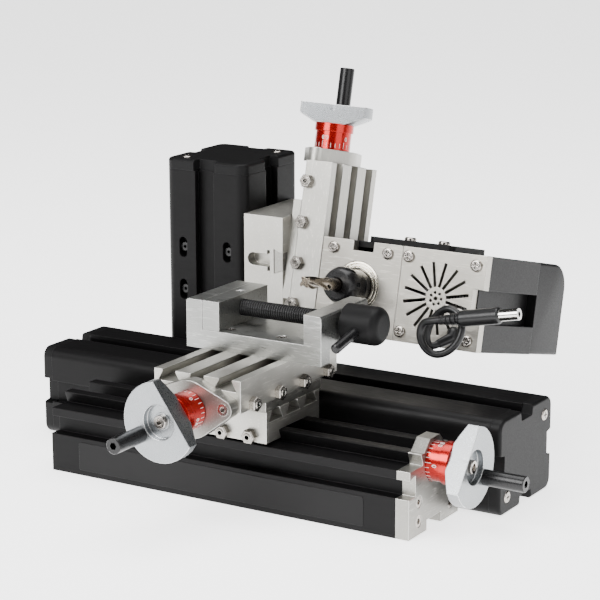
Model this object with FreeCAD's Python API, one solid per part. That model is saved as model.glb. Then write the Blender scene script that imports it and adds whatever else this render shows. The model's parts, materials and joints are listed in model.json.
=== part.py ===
import FreeCAD, Part
import math
import os

# Small modular machine tool in its milling arrangement, millimetres, +Z up.
# X runs along the bed, Y away from the operator. The origin is on the ground, on the joint
# between the slide rail and the bed, midway along the rail.

Vector = FreeCAD.Vector
Rotation = FreeCAD.Rotation
Placement = FreeCAD.Placement

# Bed: black block with a closed cap at each end
bed_length = 257.0
bed_depth = 54.0
bed_height = 45.0
bed_left = -135.5
cap_thickness = 5.5
cap_edge = 1.5
cap_notch_mouth = 13.0
cap_notch_floor = 11.0
cap_notch_depth = 4.7
cap_screw_sink = 1.2
corner_radius = 5.0
channel_width = 11.0
channel_depth = 4.5
channel_lip = 2.0
core_wall = 5.0
cap_screw_inset = 8.0

# Column: the same section, standing behind the bed
column_width = 47.5
column_depth = 52.0
column_height = 137.3
column_left = -96.0
slot_width = 4.7
slot_height = 10.5
slot_depth = 5.0
slot_rows = [70.0, 92.0]
slot_inset = 10.5

# Riser block between the column and the upright slide
riser_width = 22.5
riser_size = 45.0
riser_bottom = 68.2
key_width = 12.5
key_depth = 5.2
swivel_height = 91.45
lean = 13.7
stud_radius = 4.0

# Slide rail in front of the bed
rail_length = 188.3
rail_left = -94.1
rail_depth = 46.8
rail_base_height = 18.5
neck_inset = 6.0
neck_top = 28.0
flange_top = 31.0
flange_inset = 0.8
rail_slot_floor = 26.5
foot_channel = 13.5
foot_channel_height = 4.8
end_plate_thickness = 6.6
boss_radius = 13.4
rail_boss_flats = 22.0

# Dovetail slide module shared by the saddle, the table and the upright slide
module_width = 46.0
base_width = 45.4
base_thickness = 4.5
dovetail_height = 5.5
dovetail_foot = 21.0
dovetail_top = 25.0
screw_slot_width = 13.5
screw_slot_floor = 3.2
nut_length = 12.0
carriage_height = 14.7
slide_gap = 0.3
slide_fit = 0.04
groove_mouth = 7.0
groove_floor = 12.0
groove_depth = 5.2
groove_pitch = 15.0
locknut_flats = 6.1
locknut_height = 3.0
set_screw_sink = 0.3
set_screw_radius = 1.5
set_screw_length = 6.0
set_screw_height = 2.6

# Leadscrews and handwheels
leadscrew_radius = 3.0
running_fit = 0.05
leadscrew_height = 0.5
leadscrew_z = 30.6
dial_radius = 9.0
dial_flange_radius = 9.8
dial_flange_length = 4.0
wheel_radius = 18.3
wheel_thickness = 9.5
wheel_rim = 5.5
wheel_hub_radius = 10.5
wheel_chord = 8.2
counterbore_radius = 8.0
counterbore_depth = 3.0
handle_offset = 12.0
handle_radius = 3.25
handle_length = 21.5
handle_root = 4.0
handle_root_length = 3.0
seat_gap = 0.3
press_gap = 0.02

# Saddle, cross slide and table
saddle_length = 46.3
saddle_centre = 4.4
saddle_bottom_gap = 1.3
cross_front = -46.2
cross_base_length = 48.0
table_front = -67.3
table_length = 83.3
cross_dial_length = 13.7
bed_dial_length = 12.0
cross_wheel_turn = 35.0
z_wheel_turn = 16.0
flange_bolt_offset = 18.0
flange_bolt_rise = 3.0
flange_bolt_boss = 4.4
bolt_head_radius = 2.75
bolt_head_height = 2.6
bolt_sink = 2.4

# Vise
vise_left = -27.5
vise_length = 72.8
vise_front = -28.3
vise_width = 42.0
vise_height = 23.0
vise_floor = 9.0
vise_wall = 8.8
right_wall = 9.1
jaw_thickness = 8.9
vise_relief = 6.5
vise_lip = 8.0
vise_screw_y = -7.3
vise_screw_z = 83.0
vise_screw_radius = 4.0
knob_radius = 9.0
knob_length = 18.5
knob_dome = 4.0
knob_gap = 1.8
lever_radius = 2.3
lever_chamfer = 0.7
lever_reach = 27.0
lever_drop = 12.5
lever_x = 55.5
jaw_screw_x = -13.4
jaw_screw_y = -3.6

# Upright slide and head, in the leaning frame
z_base_length = 49.2
z_carriage_bottom = -38.5
z_dial_length = 13.1
head_right = 83.5
head_front = -22.5
head_back = 72.0
head_top = 8.3
head_bottom = -37.5
plate_thickness = 5.0
plate_seam = 38.2
seam_gap = 0.2
housing_wall = 3.0
end_cap_length = 34.0
end_cap_radius = 10.0
side_channel_top = -8.0
side_channel_bottom = -24.0
side_channel_depth = 5.0
spindle_x = 15.2
spindle_z = -14.0
bearing_radius = 11.0
bearing_width = 7.0
bearing_recess = 12.3
bulkhead_front = 7.0
bulkhead_thickness = 9.0
journal_radius = 4.0
nose_radius = 8.0
nose_length = 11.8
nose_flats = 14.0
nut_radius = 9.0
nut_nose_radius = 7.5
nut_start = 12.0
nut_end = 20.0
mill_radius = 3.0
mill_end = 50.0
mill_flute = 21.0
mill_grip = 12.0
vent_x = 58.7
vent_z = -14.7
vent_slots = 16
vent_inner = 5.5
vent_outer = 17.5
vent_slot_width = 1.5
vent_hole = 0.75
vent_centre_hole = 1.0
vent_ring = 2.9
vent_ring_holes = 7
notch_left = 10.8
notch_right = 22.1
notch_depth = 5.0
cover_left = 15.5
cover_right = 62.0
cover_front = -17.0
cover_back = 20.0
cover_thickness = 2.9
cover_screw_places = [(31.8, -4.0), (50.4, -4.0)]
motor_radius = 13.5
motor_length = 38.0
pan_radius = 2.9
pan_height = 1.7
pan_shank = 1.5
pan_reach = 7.5

# Power lead: a short pigtail from the vent plate, in the leaning frame
cord_diameter = 3.6
gland_point = Vector(71.5, -22.5, -29.8)
cord_points = [
    Vector(67.2, -30.6, -35.6),
    Vector(64.5, -33.2, -37.8),
    Vector(62.4, -34.6, -34.0),
    Vector(63.6, -35.4, -27.2),
    Vector(67.8, -36.2, -20.8),
    Vector(73.6, -36.8, -17.6),
    Vector(79.6, -37.2, -20.0),
    Vector(82.6, -38.0, -26.4),
    Vector(81.6, -39.2, -33.2),
    Vector(77.2, -40.4, -38.6),
    Vector(71.0, -41.6, -40.6),
    Vector(65.4, -42.8, -37.2),
    Vector(63.2, -43.8, -31.0),
    Vector(65.0, -44.6, -25.8),
    Vector(69.2, -45.0, -24.8),
    Vector(73.7, -45.0, -23.9),
]
plug_relief_length = 10.5
plug_relief_radius = 2.9
plug_body_length = 20.5
plug_body_radius = 3.9
plug_barrel_radius = 2.75
plug_barrel_length = 9.5

# Dependent places
bed_right = bed_left + bed_length
column_right = column_left + column_width
column_back = bed_depth + column_depth
riser_right = column_right + riser_width
rail_right = rail_left + rail_length
rail_centre = -rail_depth / 2
dovetail_z = flange_top + dovetail_height
saddle_bottom = flange_top + saddle_bottom_gap
saddle_top = saddle_bottom + carriage_height
cross_top = saddle_top + base_thickness
table_top = cross_top + slide_gap + carriage_height
vise_top = table_top + vise_height
z_base_top = riser_right + base_thickness
head_left = z_base_top + slide_gap + carriage_height
swivel_point = Vector(0, bed_depth + 27.0, swivel_height)
plate_back = head_front + plate_thickness
cap_seam = head_back - end_cap_length
z_carriage_length = table_length
leaning = Placement(swivel_point, Rotation(Vector(1, 0, 0), -lean))


def block(x0, x1, y0, y1, z0, z1):
    return Part.makeBox(x1 - x0, y1 - y0, z1 - z0, Vector(x0, y0, z0))


def rod(start, axis, radius, length):
    return Part.makeCylinder(radius, length, start, axis)


def cone(start, axis, radius, end_radius, length):
    return Part.makeCone(radius, end_radius, length, start, axis)


def prism(points, travel):
    wire = Part.makePolygon(points + [points[0]])
    return Part.Face(wire).extrude(travel)


def joined(shapes):
    whole = shapes[0]
    if len(shapes) > 1:
        whole = whole.fuse(shapes[1:])
    return whole.removeSplitter()


def less(shape, tools):
    return shape.cut(tools).removeSplitter()


def edges_along(shape, direction, test):
    found = []
    for edge in shape.Edges:
        if edge.Curve.TypeId != "Part::GeomLine":
            continue
        run = edge.Vertexes[1].Point - edge.Vertexes[0].Point
        if run.Length > 1e-6 and run.normalize().cross(direction).Length < 1e-6:
            if test(edge.CenterOfMass):
                found.append(edge)
    return found


def placed(shape, placement):
    moved = shape.copy()
    moved.Placement = placement.multiply(moved.Placement)
    return moved


def save(name, shapes):
    solids = shapes if isinstance(shapes, list) else [shapes]
    pieces = []
    for shape in solids:
        pieces.extend(shape.Solids)
    result = pieces[0] if len(pieces) == 1 else Part.makeCompound(pieces)
    for piece in pieces:
        if not piece.isValid():
            print("invalid solid in", name)
    result.exportStep("parts/" + name + ".step")
    print(name, len(pieces), "solids", round(sum(piece.Volume for piece in pieces), 1), "mm3")


def rounded_box(width, depth, height):
    """Upright box centred on the origin with rounded upright edges."""
    box = block(-width / 2, width / 2, -depth / 2, depth / 2, 0, height)
    upright = edges_along(box, Vector(0, 0, 1), lambda point: True)
    return box.makeFillet(corner_radius, upright)


# Half width and depth of each corner of a side groove
channel_profile = [(channel_width / 2, -1.0), (channel_width / 2, channel_lip),
                   (channel_width / 2 + channel_lip / 2, channel_depth)]
notch_profile = [(cap_notch_mouth / 2, -1.0), (cap_notch_mouth / 2, 0.0),
                 (cap_notch_floor / 2, cap_notch_depth)]


def side_grooves(width, depth, height, profile):
    """Groove of the given profile along the middle of each side face."""
    cutters = []
    for turn, span in [(0, depth), (90, width), (180, depth), (270, width)]:
        right = [Vector(half, into - span / 2, -1) for half, into in profile]
        left = [Vector(-point.x, point.y, -1) for point in reversed(right)]
        cutter = prism(right + left, Vector(0, 0, height + 2))
        cutter.rotate(Vector(0, 0, 0), Vector(0, 0, 1), turn)
        cutters.append(cutter)
    return cutters


def cap_corners(width, depth, diagonal):
    """Two opposite corners; diagonal 1 or -1 picks which pair."""
    corner = Vector(width / 2 - cap_screw_inset, diagonal * (depth / 2 - cap_screw_inset), 0)
    return [corner, corner * -1]


def post_body(width, depth, length):
    """Post body, standing on z 0, with a hollow core and the channels."""
    body = rounded_box(width, depth, length)
    margin = channel_depth + core_wall
    core = block(-width / 2 + margin, width / 2 - margin,
                 -depth / 2 + margin, depth / 2 - margin, -1, length + 1)
    holes = []
    for side in (-1, 1):
        for corner in cap_corners(width, depth, side):
            for start, way in [(0, 1), (length, -1)]:
                holes.append(rod(corner + Vector(0, 0, start), Vector(0, 0, way), pan_shank, pan_reach))
    return less(body, side_grooves(width, depth, length, channel_profile) + [core] + holes)


def post_cap(width, depth, diagonal):
    """End cap, standing on z 0, notched at the middle of each side."""
    cap = rounded_box(width, depth, cap_thickness)
    cap = cap.makeFillet(cap_edge, [edge for edge in cap.Edges if edge.CenterOfMass.z > cap_thickness - 0.01])
    tools = side_grooves(width, depth, cap_thickness, notch_profile)
    for corner in cap_corners(width, depth, diagonal):
        tools.append(rod(corner - Vector(0, 0, 1), Vector(0, 0, 1), pan_shank, 20))
        seat = corner + Vector(0, 0, cap_thickness - cap_screw_sink)
        tools.append(rod(seat, Vector(0, 0, 1), pan_radius + press_gap, 20))
    return less(cap, tools)


def cap_screws(width, depth, diagonal):
    screws = []
    for corner in cap_corners(width, depth, diagonal):
        screw = pan_screw(reach=cap_thickness - cap_screw_sink + pan_reach - 1)
        screw.translate(corner + Vector(0, 0, cap_thickness - cap_screw_sink))
        screws.append(screw)
    return screws


def pan_screw(shank=pan_shank, reach=pan_reach):
    """Pan-head screw with a cross recess, its head on z 0 and its shank below."""
    head = rod(Vector(0, 0, 0), Vector(0, 0, 1), pan_radius, pan_height)
    head = head.makeFillet(pan_height * 0.55, [head.Edges[0]])
    body = joined([head, rod(Vector(0, 0, -reach + 0.3), Vector(0, 0, 1), shank - press_gap, reach)])
    arm = pan_radius * 0.55
    recess = [block(-arm, arm, -0.35, 0.35, pan_height - 0.8, 5),
              block(-0.35, 0.35, -arm, arm, pan_height - 0.8, 5)]
    return less(body, recess)


def socket_screw(head_radius, head_height, shank, reach, flats):
    """Socket-head screw, its head on z 0 and its shank below."""
    head = rod(Vector(0, 0, 0), Vector(0, 0, 1), head_radius, head_height)
    body = joined([head, rod(Vector(0, 0, -reach), Vector(0, 0, 1), shank - press_gap, reach + 0.1)])
    return less(body, [hexagon(flats, head_height, Vector(0, 0, head_height * 0.4))])


def polygon(sides, flats, height, base):
    """Prism on a regular polygon, with a flat towards +x."""
    radius = flats / 2 / math.cos(math.pi / sides)
    points = []
    for step in range(sides):
        angle = math.pi / sides * (2 * step + 1)
        points.append(base + Vector(radius * math.cos(angle), radius * math.sin(angle), 0))
    return prism(points, Vector(0, 0, height))


def hexagon(flats, height, base):
    return polygon(6, flats, height, base)


def turned_to(axis):
    return Rotation(Vector(0, 0, 1), axis)


def set_at(shape, point, axis):
    return placed(shape, Placement(point, turned_to(axis)))


# Slide module: x along the slide, y across it, z up from the top of the base

def dovetail(length, spread):
    """Male dovetail from x 0; spread widens it for the mating slot."""
    foot = dovetail_foot / 2 + spread
    top = dovetail_top / 2 + spread
    rise = (dovetail_top - dovetail_foot) / 2 / dovetail_height
    outline = [
        Vector(0, -foot + rise * 1.0, -1.0),
        Vector(0, foot - rise * 1.0, -1.0),
        Vector(0, top, dovetail_height + spread),
        Vector(0, -top, dovetail_height + spread),
    ]
    return prism(outline, Vector(length, 0, 0))


def carriage(length, gap):
    """Ridged carriage; its gib screws go in the +y side."""
    half = module_width / 2
    body = block(0, length, -half, half, gap, gap + carriage_height)
    tools = [dovetail(length + 2, slide_fit)]
    tools[0].translate(Vector(-1, 0, 0))
    top = gap + carriage_height
    for row in (-1, 0, 1):
        middle = row * groove_pitch
        outline = [
            Vector(-1, middle - groove_mouth / 2, top + 1),
            Vector(-1, middle + groove_mouth / 2, top + 1),
            Vector(-1, middle + groove_mouth / 2, top - 0.8),
            Vector(-1, middle + groove_floor / 2, top - groove_depth),
            Vector(-1, middle - groove_floor / 2, top - groove_depth),
            Vector(-1, middle - groove_mouth / 2, top - 0.8),
        ]
        tools.append(prism(outline, Vector(length + 2, 0, 0)))
    return less(body, tools)


def gib_holes(places, height):
    return [rod(Vector(x, module_width / 2 + 1, height), Vector(0, -1, 0),
                set_screw_radius, set_screw_length + 1) for x in places]


def gib_set(places, height):
    """Set screws with their locknuts on the +y side of a carriage."""
    pieces = []
    for x in places:
        seat = Vector(x, module_width / 2, height)
        nut = hexagon(locknut_flats, locknut_height, Vector(0, 0, 0))
        nut = less(nut, [rod(Vector(0, 0, -1), Vector(0, 0, 1), set_screw_radius, 10)])
        top = locknut_height - set_screw_sink
        screw = rod(Vector(0, 0, 0.8 - set_screw_length), Vector(0, 0, 1),
                    set_screw_radius - press_gap, set_screw_length - 0.8 + top)
        screw = less(screw, [hexagon(1.5, 3, Vector(0, 0, top - 1.5))])
        pieces.append(set_at(nut, seat, Vector(0, 1, 0)))
        pieces.append(set_at(screw, seat, Vector(0, 1, 0)))
    return pieces


def slide_base(length):
    """Base plate with its dovetail and the leadscrew nut left in the middle of its slot."""
    plate = block(0, length, -base_width / 2, base_width / 2, -base_thickness, 0)
    body = joined([plate, dovetail(length, 0)])
    half = screw_slot_width / 2
    floor = -screw_slot_floor
    first = (length - nut_length) / 2
    slots = [
        block(-1, first, -half, half, floor, dovetail_height + 1),
        block(first + nut_length, length + 1, -half, half, floor, dovetail_height + 1),
        rod(Vector(-1, 0, leadscrew_height), Vector(1, 0, 0), leadscrew_radius + running_fit, length + 2),
    ]
    return less(body, slots)


def slide_end_plate():
    """Flanged plate on the end of a carriage; x 0 is its back face."""
    centre = Vector(0, 0, leadscrew_height)
    reach = flange_bolt_offset
    rise = flange_bolt_rise
    shapes = [rod(centre, Vector(1, 0, 0), boss_radius, end_plate_thickness)]
    for side in (-1, 1):
        boss = Vector(0, side * reach, rise)
        shapes.append(rod(boss, Vector(1, 0, 0), flange_bolt_boss, end_plate_thickness))
        offset = boss - centre
        gap = offset.Length
        tilt = math.atan2(offset.z, offset.y)
        swing = math.acos((boss_radius - flange_bolt_boss) / gap)
        outline = []
        for way in (1, -1):
            angle = tilt + way * swing
            way_out = Vector(0, math.cos(angle), math.sin(angle))
            pair = [centre + way_out * boss_radius, boss + way_out * flange_bolt_boss]
            outline.extend(pair if way == 1 else reversed(pair))
        shapes.append(prism(outline, Vector(end_plate_thickness, 0, 0)))
    body = joined(shapes)
    tools = [rod(centre - Vector(1, 0, 0), Vector(1, 0, 0), leadscrew_radius + running_fit, 20)]
    for side in (-1, 1):
        tools.append(rod(Vector(-1, side * reach, rise), Vector(1, 0, 0), pan_shank, 20))
        seat = Vector(end_plate_thickness - bolt_sink, side * reach, rise)
        tools.append(rod(seat, Vector(1, 0, 0), bolt_head_radius + press_gap, 20))
    return less(body, tools)


def end_plate_bolts(start):
    pieces = []
    for side in (-1, 1):
        seat = Vector(start + end_plate_thickness - bolt_sink, side * flange_bolt_offset, flange_bolt_rise)
        screw = socket_screw(bolt_head_radius, bolt_head_height, pan_shank, end_plate_thickness + 3, 2.5)
        pieces.append(set_at(screw, seat, Vector(1, 0, 0)))
    return pieces


def end_bolt_holes(length):
    return [rod(Vector(length + 1, side * flange_bolt_offset, flange_bolt_rise), Vector(-1, 0, 0),
                pan_shank, 8) for side in (-1, 1)]


# Handwheel: axis along +z, the wheel's back on z 0, chord towards +x and handle towards -x

def handwheel():
    cone_part = cone(Vector(0, 0, 0), Vector(0, 0, 1), wheel_hub_radius, wheel_radius,
                     wheel_thickness - wheel_rim)
    rim = rod(Vector(0, 0, wheel_thickness - wheel_rim), Vector(0, 0, 1), wheel_radius, wheel_rim)
    body = joined([cone_part, rim])
    tools = [
        block(wheel_chord, 50, -50, 50, -1, 50),
        rod(Vector(0, 0, wheel_thickness - counterbore_depth), Vector(0, 0, 1), counterbore_radius, 20),
        rod(Vector(0, 0, -1), Vector(0, 0, 1), leadscrew_radius + press_gap, 20),
        rod(Vector(-handle_offset, 0, wheel_thickness - wheel_rim), Vector(0, 0, 1),
            set_screw_radius + press_gap, 20),
    ]
    return less(body, tools)


def wheel_handle():
    seat = Vector(-handle_offset, 0, wheel_thickness)
    grip = rod(seat, Vector(0, 0, 1), handle_radius, handle_length)
    grip = grip.makeChamfer(0.5, [edge for edge in grip.Edges if edge.CenterOfMass.z > seat.z + 1
                                  and edge.Curve.TypeId == "Part::GeomCircle"])
    root = rod(seat, Vector(0, 0, 1), handle_root, handle_root_length)
    stud = rod(seat - Vector(0, 0, wheel_rim - 1), Vector(0, 0, 1), set_screw_radius, wheel_rim)
    return joined([grip, root, stud])


def dial(length):
    flange = rod(Vector(0, 0, length - dial_flange_length), Vector(0, 0, 1), dial_flange_radius,
                 dial_flange_length)
    drum = rod(Vector(0, 0, 0), Vector(0, 0, 1), dial_radius, length)
    bore = rod(Vector(0, 0, -1), Vector(0, 0, 1), leadscrew_radius + press_gap, length + 2)
    return less(joined([flange, drum]), [bore])


def leadscrew(reach, length):
    """Leadscrew from reach behind the dial's back to the bottom of the wheel's counterbore."""
    end = length + wheel_thickness - counterbore_depth + seat_gap
    return rod(Vector(0, 0, -reach), Vector(0, 0, 1), leadscrew_radius, reach + end)


def save_wheel(name, dial_length, reach, placement):
    wheel_place = placement.multiply(Placement(Vector(0, 0, dial_length), Rotation()))
    save(name + "_leadscrew", placed(leadscrew(reach, dial_length), placement))
    save(name + "_dial", placed(dial(dial_length), placement))
    save(name + "_handwheel", placed(handwheel(), wheel_place))
    save(name + "_handle", placed(wheel_handle(), wheel_place))


def frame_of(origin, x_axis, z_axis):
    y_axis = z_axis.cross(x_axis)
    return Placement(origin, Rotation(x_axis, y_axis, z_axis, "ZXY"))


os.makedirs("parts", exist_ok=True)


# Bed

def bed_place(shape, start, way):
    """Turn an upright post piece so that its length runs along the bed."""
    turned = Rotation(Vector(0, 0, 1), Vector(way, 0, 0))
    flat = Placement(Vector(start, bed_depth / 2, bed_height / 2), turned)
    return placed(shape, flat)


def make_bed():
    body = post_body(bed_height, bed_depth, bed_length - 2 * cap_thickness)
    save("bed_body", bed_place(body, bed_left + cap_thickness, 1))
    caps = []
    screws = []
    for start, way in [(bed_right - cap_thickness, 1), (bed_left + cap_thickness, -1)]:
        caps.append(bed_place(post_cap(bed_height, bed_depth, -1), start, way))
        for screw in cap_screws(bed_height, bed_depth, -1):
            screws.append(bed_place(screw, start, way))
    save("bed_caps", caps)
    save("bed_cap_screws", screws)


# Column

def make_column():
    centre = Vector(column_left + column_width / 2, bed_depth + column_depth / 2, 0)
    body = post_body(column_width, column_depth, column_height - 2 * cap_thickness)
    body.translate(centre + Vector(0, 0, cap_thickness))
    slots = []
    screws = []
    for row in slot_rows:
        for side in (-1, 1):
            x = centre.x + side * (column_width / 2 - slot_inset)
            half = (slot_height - slot_width) / 2
            slots.append(block(x - slot_width / 2, x + slot_width / 2, bed_depth - 1,
                               bed_depth + slot_depth, row - half, row + half))
            for end in (-half, half):
                slots.append(rod(Vector(x, bed_depth - 1, row + end), Vector(0, 1, 0),
                                 slot_width / 2, slot_depth + 1))
            seat = Vector(x, bed_depth + slot_depth, row)
            slots.append(rod(seat, Vector(0, 1, 0), pan_shank - 0.3, 4))
            screw = socket_screw(slot_width / 2 - 0.15, 3.4, pan_shank - 0.3, 3.5, 1.6)
            screws.append(set_at(screw, seat, Vector(0, -1, 0)))
    save("column_body", less(body, slots))
    save("column_slot_screws", screws)
    caps = []
    held = []
    top = Placement(centre + Vector(0, 0, column_height - cap_thickness), Rotation())
    foot = Placement(centre + Vector(0, 0, cap_thickness), Rotation(Vector(1, 0, 0), 180))
    for place in (top, foot):
        caps.append(placed(post_cap(column_width, column_depth, 1), place))
        for screw in cap_screws(column_width, column_depth, 1):
            held.append(placed(screw, place))
    save("column_caps", caps)
    save("column_cap_screws", held)


# Black keys that lock neighbouring blocks together through their channels

def joining_key(depth):
    mouth = channel_width / 2 - 0.1
    inner = mouth + channel_lip / 2
    step = channel_lip
    outline = [Vector(-mouth, 0, 0), Vector(mouth, 0, 0), Vector(mouth, step, 0),
               Vector(inner, depth, 0), Vector(-inner, depth, 0), Vector(-mouth, step, 0)]
    return prism(outline, Vector(0, 0, 22.0))


def make_joining_keys():
    depth = channel_depth - 0.1
    keys = []
    for x in (-60.0, 38.0):
        place = frame_of(Vector(x, 0, bed_height / 2), Vector(0, 0, -1), Vector(1, 0, 0))
        keys.append(placed(joining_key(depth), place))
    centre = column_left + column_width / 2
    behind = frame_of(Vector(centre - 11.0, bed_depth, bed_height / 2), Vector(0, 0, 1), Vector(1, 0, 0))
    keys.append(placed(joining_key(depth), behind))
    front = frame_of(Vector(centre, bed_depth, 11.5), Vector(1, 0, 0), Vector(0, 0, 1))
    keys.append(placed(joining_key(depth), front))
    side = frame_of(Vector(column_right, bed_depth + column_depth / 2, riser_bottom + 11.5), Vector(0, 1, 0),
                    Vector(0, 0, 1))
    keys.append(placed(joining_key(depth), side))
    save("joining_keys", keys)


# Riser block

def make_riser():
    y0 = bed_depth
    y1 = bed_depth + riser_size
    z1 = riser_bottom + riser_size
    body = block(column_right, riser_right, y0, y1, riser_bottom, z1)
    slot_z = riser_bottom + riser_size / 2
    half = key_width / 2
    lip = 1.2
    outline = [
        Vector(riser_right + 1, y0 - 1, slot_z - half + 1.5),
        Vector(riser_right + 1, y0 - 1, slot_z + half - 1.5),
        Vector(riser_right - lip, y0 - 1, slot_z + half - 1.5),
        Vector(riser_right - key_depth, y0 - 1, slot_z + half),
        Vector(riser_right - key_depth, y0 - 1, slot_z - half),
        Vector(riser_right - lip, y0 - 1, slot_z - half + 1.5),
    ]
    key_room = prism(outline, Vector(0, riser_size + 2, 0))
    recess_end = column_right + 5.2
    nut_x = riser_right - 8.0
    tools = [
        key_room,
        block(recess_end, nut_x, y0 - 1, y0 + 6.0, slot_z - 3.2, slot_z + 3.2),
        rod(Vector(recess_end, y0 - 1, slot_z), Vector(0, 1, 0), 3.2, 7.0),
        block(nut_x - 1.0, nut_x + 0.6, y0 - 1, y0 + 8.0, slot_z - 5.3, slot_z + 5.3),
        rod(Vector(riser_right - 14.0, swivel_point.y, swivel_height), Vector(1, 0, 0),
            stud_radius + running_fit, 20),
        block(riser_right - 1.6, riser_right + 1, y0 + 8.0, y0 + 22.0, z1 - 9.0, z1 + 1),
    ]
    save("riser_block", less(body, tools))
    short = 0.08
    key = prism([
        Vector(riser_right - 0.2, y0 + 0.4, slot_z - half + 1.5 + short),
        Vector(riser_right - 0.2, y0 + 0.4, slot_z + half - 1.5 - short),
        Vector(riser_right - lip, y0 + 0.4, slot_z + half - 1.5 - short),
        Vector(riser_right - key_depth + short, y0 + 0.4, slot_z + half - short),
        Vector(riser_right - key_depth + short, y0 + 0.4, slot_z - half + short),
        Vector(riser_right - lip, y0 + 0.4, slot_z - half + 1.5 + short),
    ], Vector(0, riser_size - 0.8, 0))
    bore = rod(Vector(riser_right - 14.0, swivel_point.y, swivel_height), Vector(1, 0, 0),
               stud_radius + running_fit, 20)
    save("riser_key", less(key, [bore]))


# Rail

def rail_outline(x):
    """Half outline of the rail, mirrored about its centre."""
    half = rail_depth / 2
    side = [
        Vector(x, half, 0),
        Vector(x, half, rail_base_height),
        Vector(x, half - neck_inset, rail_base_height),
        Vector(x, half - neck_inset, neck_top),
        Vector(x, half - neck_inset + 3.0, neck_top),
        Vector(x, half - flange_inset, neck_top - 1.0),
        Vector(x, half - flange_inset, flange_top),
        Vector(x, dovetail_foot / 2, flange_top),
        Vector(x, dovetail_top / 2, dovetail_z),
    ]
    mirrored = [Vector(point.x, -point.y, point.z) for point in reversed(side)]
    foot = [Vector(x, -foot_channel / 2, 0), Vector(x, -foot_channel / 2, foot_channel_height),
            Vector(x, foot_channel / 2, foot_channel_height), Vector(x, foot_channel / 2, 0)]
    return [point + Vector(0, rail_centre, 0) for point in side + mirrored + foot]


rail_screw_places = [(-rail_depth / 2 + 9.3, 18.3 - 3.0), (-rail_depth / 2 + 9.3, 4.8 + 1.5),
                     (rail_depth / 2 - 7.5, 4.8 + 1.5)]


def make_rail():
    rail = prism(rail_outline(rail_left), Vector(rail_length, 0, 0))
    half = screw_slot_width / 2
    tools = [block(rail_left - 1, rail_right + 1, rail_centre - half, rail_centre + half,
                   rail_slot_floor, dovetail_z + 1)]
    for y, z in rail_screw_places:
        tools.append(rod(Vector(rail_right, rail_centre + y, z), Vector(-1, 0, 0), pan_shank, 6))
    save("slide_rail", less(rail, tools))
    plate = prism(rail_outline(rail_right), Vector(end_plate_thickness, 0, 0))
    boss = polygon(8, rail_boss_flats, end_plate_thickness, Vector(0, 0, 0))
    boss = set_at(boss, Vector(rail_right, rail_centre, leadscrew_z), Vector(1, 0, 0))
    recess = end_plate_thickness - 1.6
    tools = [rod(Vector(rail_right - 1, rail_centre, leadscrew_z), Vector(1, 0, 0),
                 leadscrew_radius + running_fit, 20),
             rod(Vector(rail_right + recess, rail_centre, leadscrew_z), Vector(1, 0, 0),
                 dial_radius + seat_gap, 5)]
    screws = []
    for y, z in rail_screw_places:
        seat = Vector(rail_right + end_plate_thickness - 2.2, rail_centre + y, z)
        tools.append(rod(Vector(rail_right - 1, seat.y, z), Vector(1, 0, 0), pan_shank, 20))
        tools.append(rod(seat, Vector(1, 0, 0), 2.75 + press_gap, 20))
        screws.append(set_at(socket_screw(2.75, 2.0, pan_shank, 8.5, 2.5), seat, Vector(1, 0, 0)))
    save("rail_end_plate", less(joined([plate, boss]), tools))
    save("rail_plate_screws", screws)


# Saddle and cross slide

def make_saddle():
    place = frame_of(Vector(saddle_centre + saddle_length / 2, rail_centre, flange_top),
                     Vector(-1, 0, 0), Vector(0, 0, 1))
    screw_height = 3.9
    places = [saddle_length / 2 + step * 14.6 for step in (-1, 0, 1)]
    body = less(carriage(saddle_length, saddle_bottom_gap), gib_holes(places, screw_height))
    save("saddle", placed(body, place))
    save("saddle_gib_screws", [placed(piece, place) for piece in gib_set(places, screw_height)])
    half = screw_slot_width / 2 - seat_gap
    roof = dovetail_z + slide_fit
    nut = block(saddle_centre - 10.0, saddle_centre + 10.0, rail_centre - half, rail_centre + half,
                rail_slot_floor + seat_gap, roof)
    bore = rod(Vector(saddle_centre - 20.0, rail_centre, leadscrew_z), Vector(1, 0, 0),
               leadscrew_radius + running_fit, 40)
    save("saddle_nut", less(nut, [bore]))


cross_place = frame_of(Vector(saddle_centre, 0, cross_top), Vector(0, -1, 0), Vector(0, 0, 1))


def make_cross_slide():
    base = slide_base(cross_base_length)
    base.translate(Vector(-cross_front - cross_base_length, 0, 0))
    save("cross_base", placed(base, cross_place))
    places = [9.0 + step * 21.5 for step in range(4)]
    body = carriage(table_length, slide_gap)
    body = less(body, gib_holes(places, set_screw_height) + end_bolt_holes(table_length))
    back = Vector(-table_front - table_length, 0, 0)
    body.translate(back)
    save("table", placed(body, cross_place))
    gibs = []
    for piece in gib_set(places, set_screw_height):
        piece.translate(back)
        gibs.append(placed(piece, cross_place))
    save("table_gib_screws", gibs)
    plate = slide_end_plate()
    plate.translate(Vector(-table_front, 0, 0))
    save("cross_end_plate", placed(plate, cross_place))
    save("cross_plate_screws", [placed(piece, cross_place) for piece in end_plate_bolts(-table_front)])


def wheel_frame(front, chord_turn):
    """Handwheel frame in a slide module: axis along the slide, chord turned from +y towards +z."""
    angle = math.radians(chord_turn)
    chord = Vector(0, math.cos(angle), math.sin(angle))
    return frame_of(Vector(front + end_plate_thickness + seat_gap, 0, leadscrew_height), chord,
                    Vector(1, 0, 0))


# Vise

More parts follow.
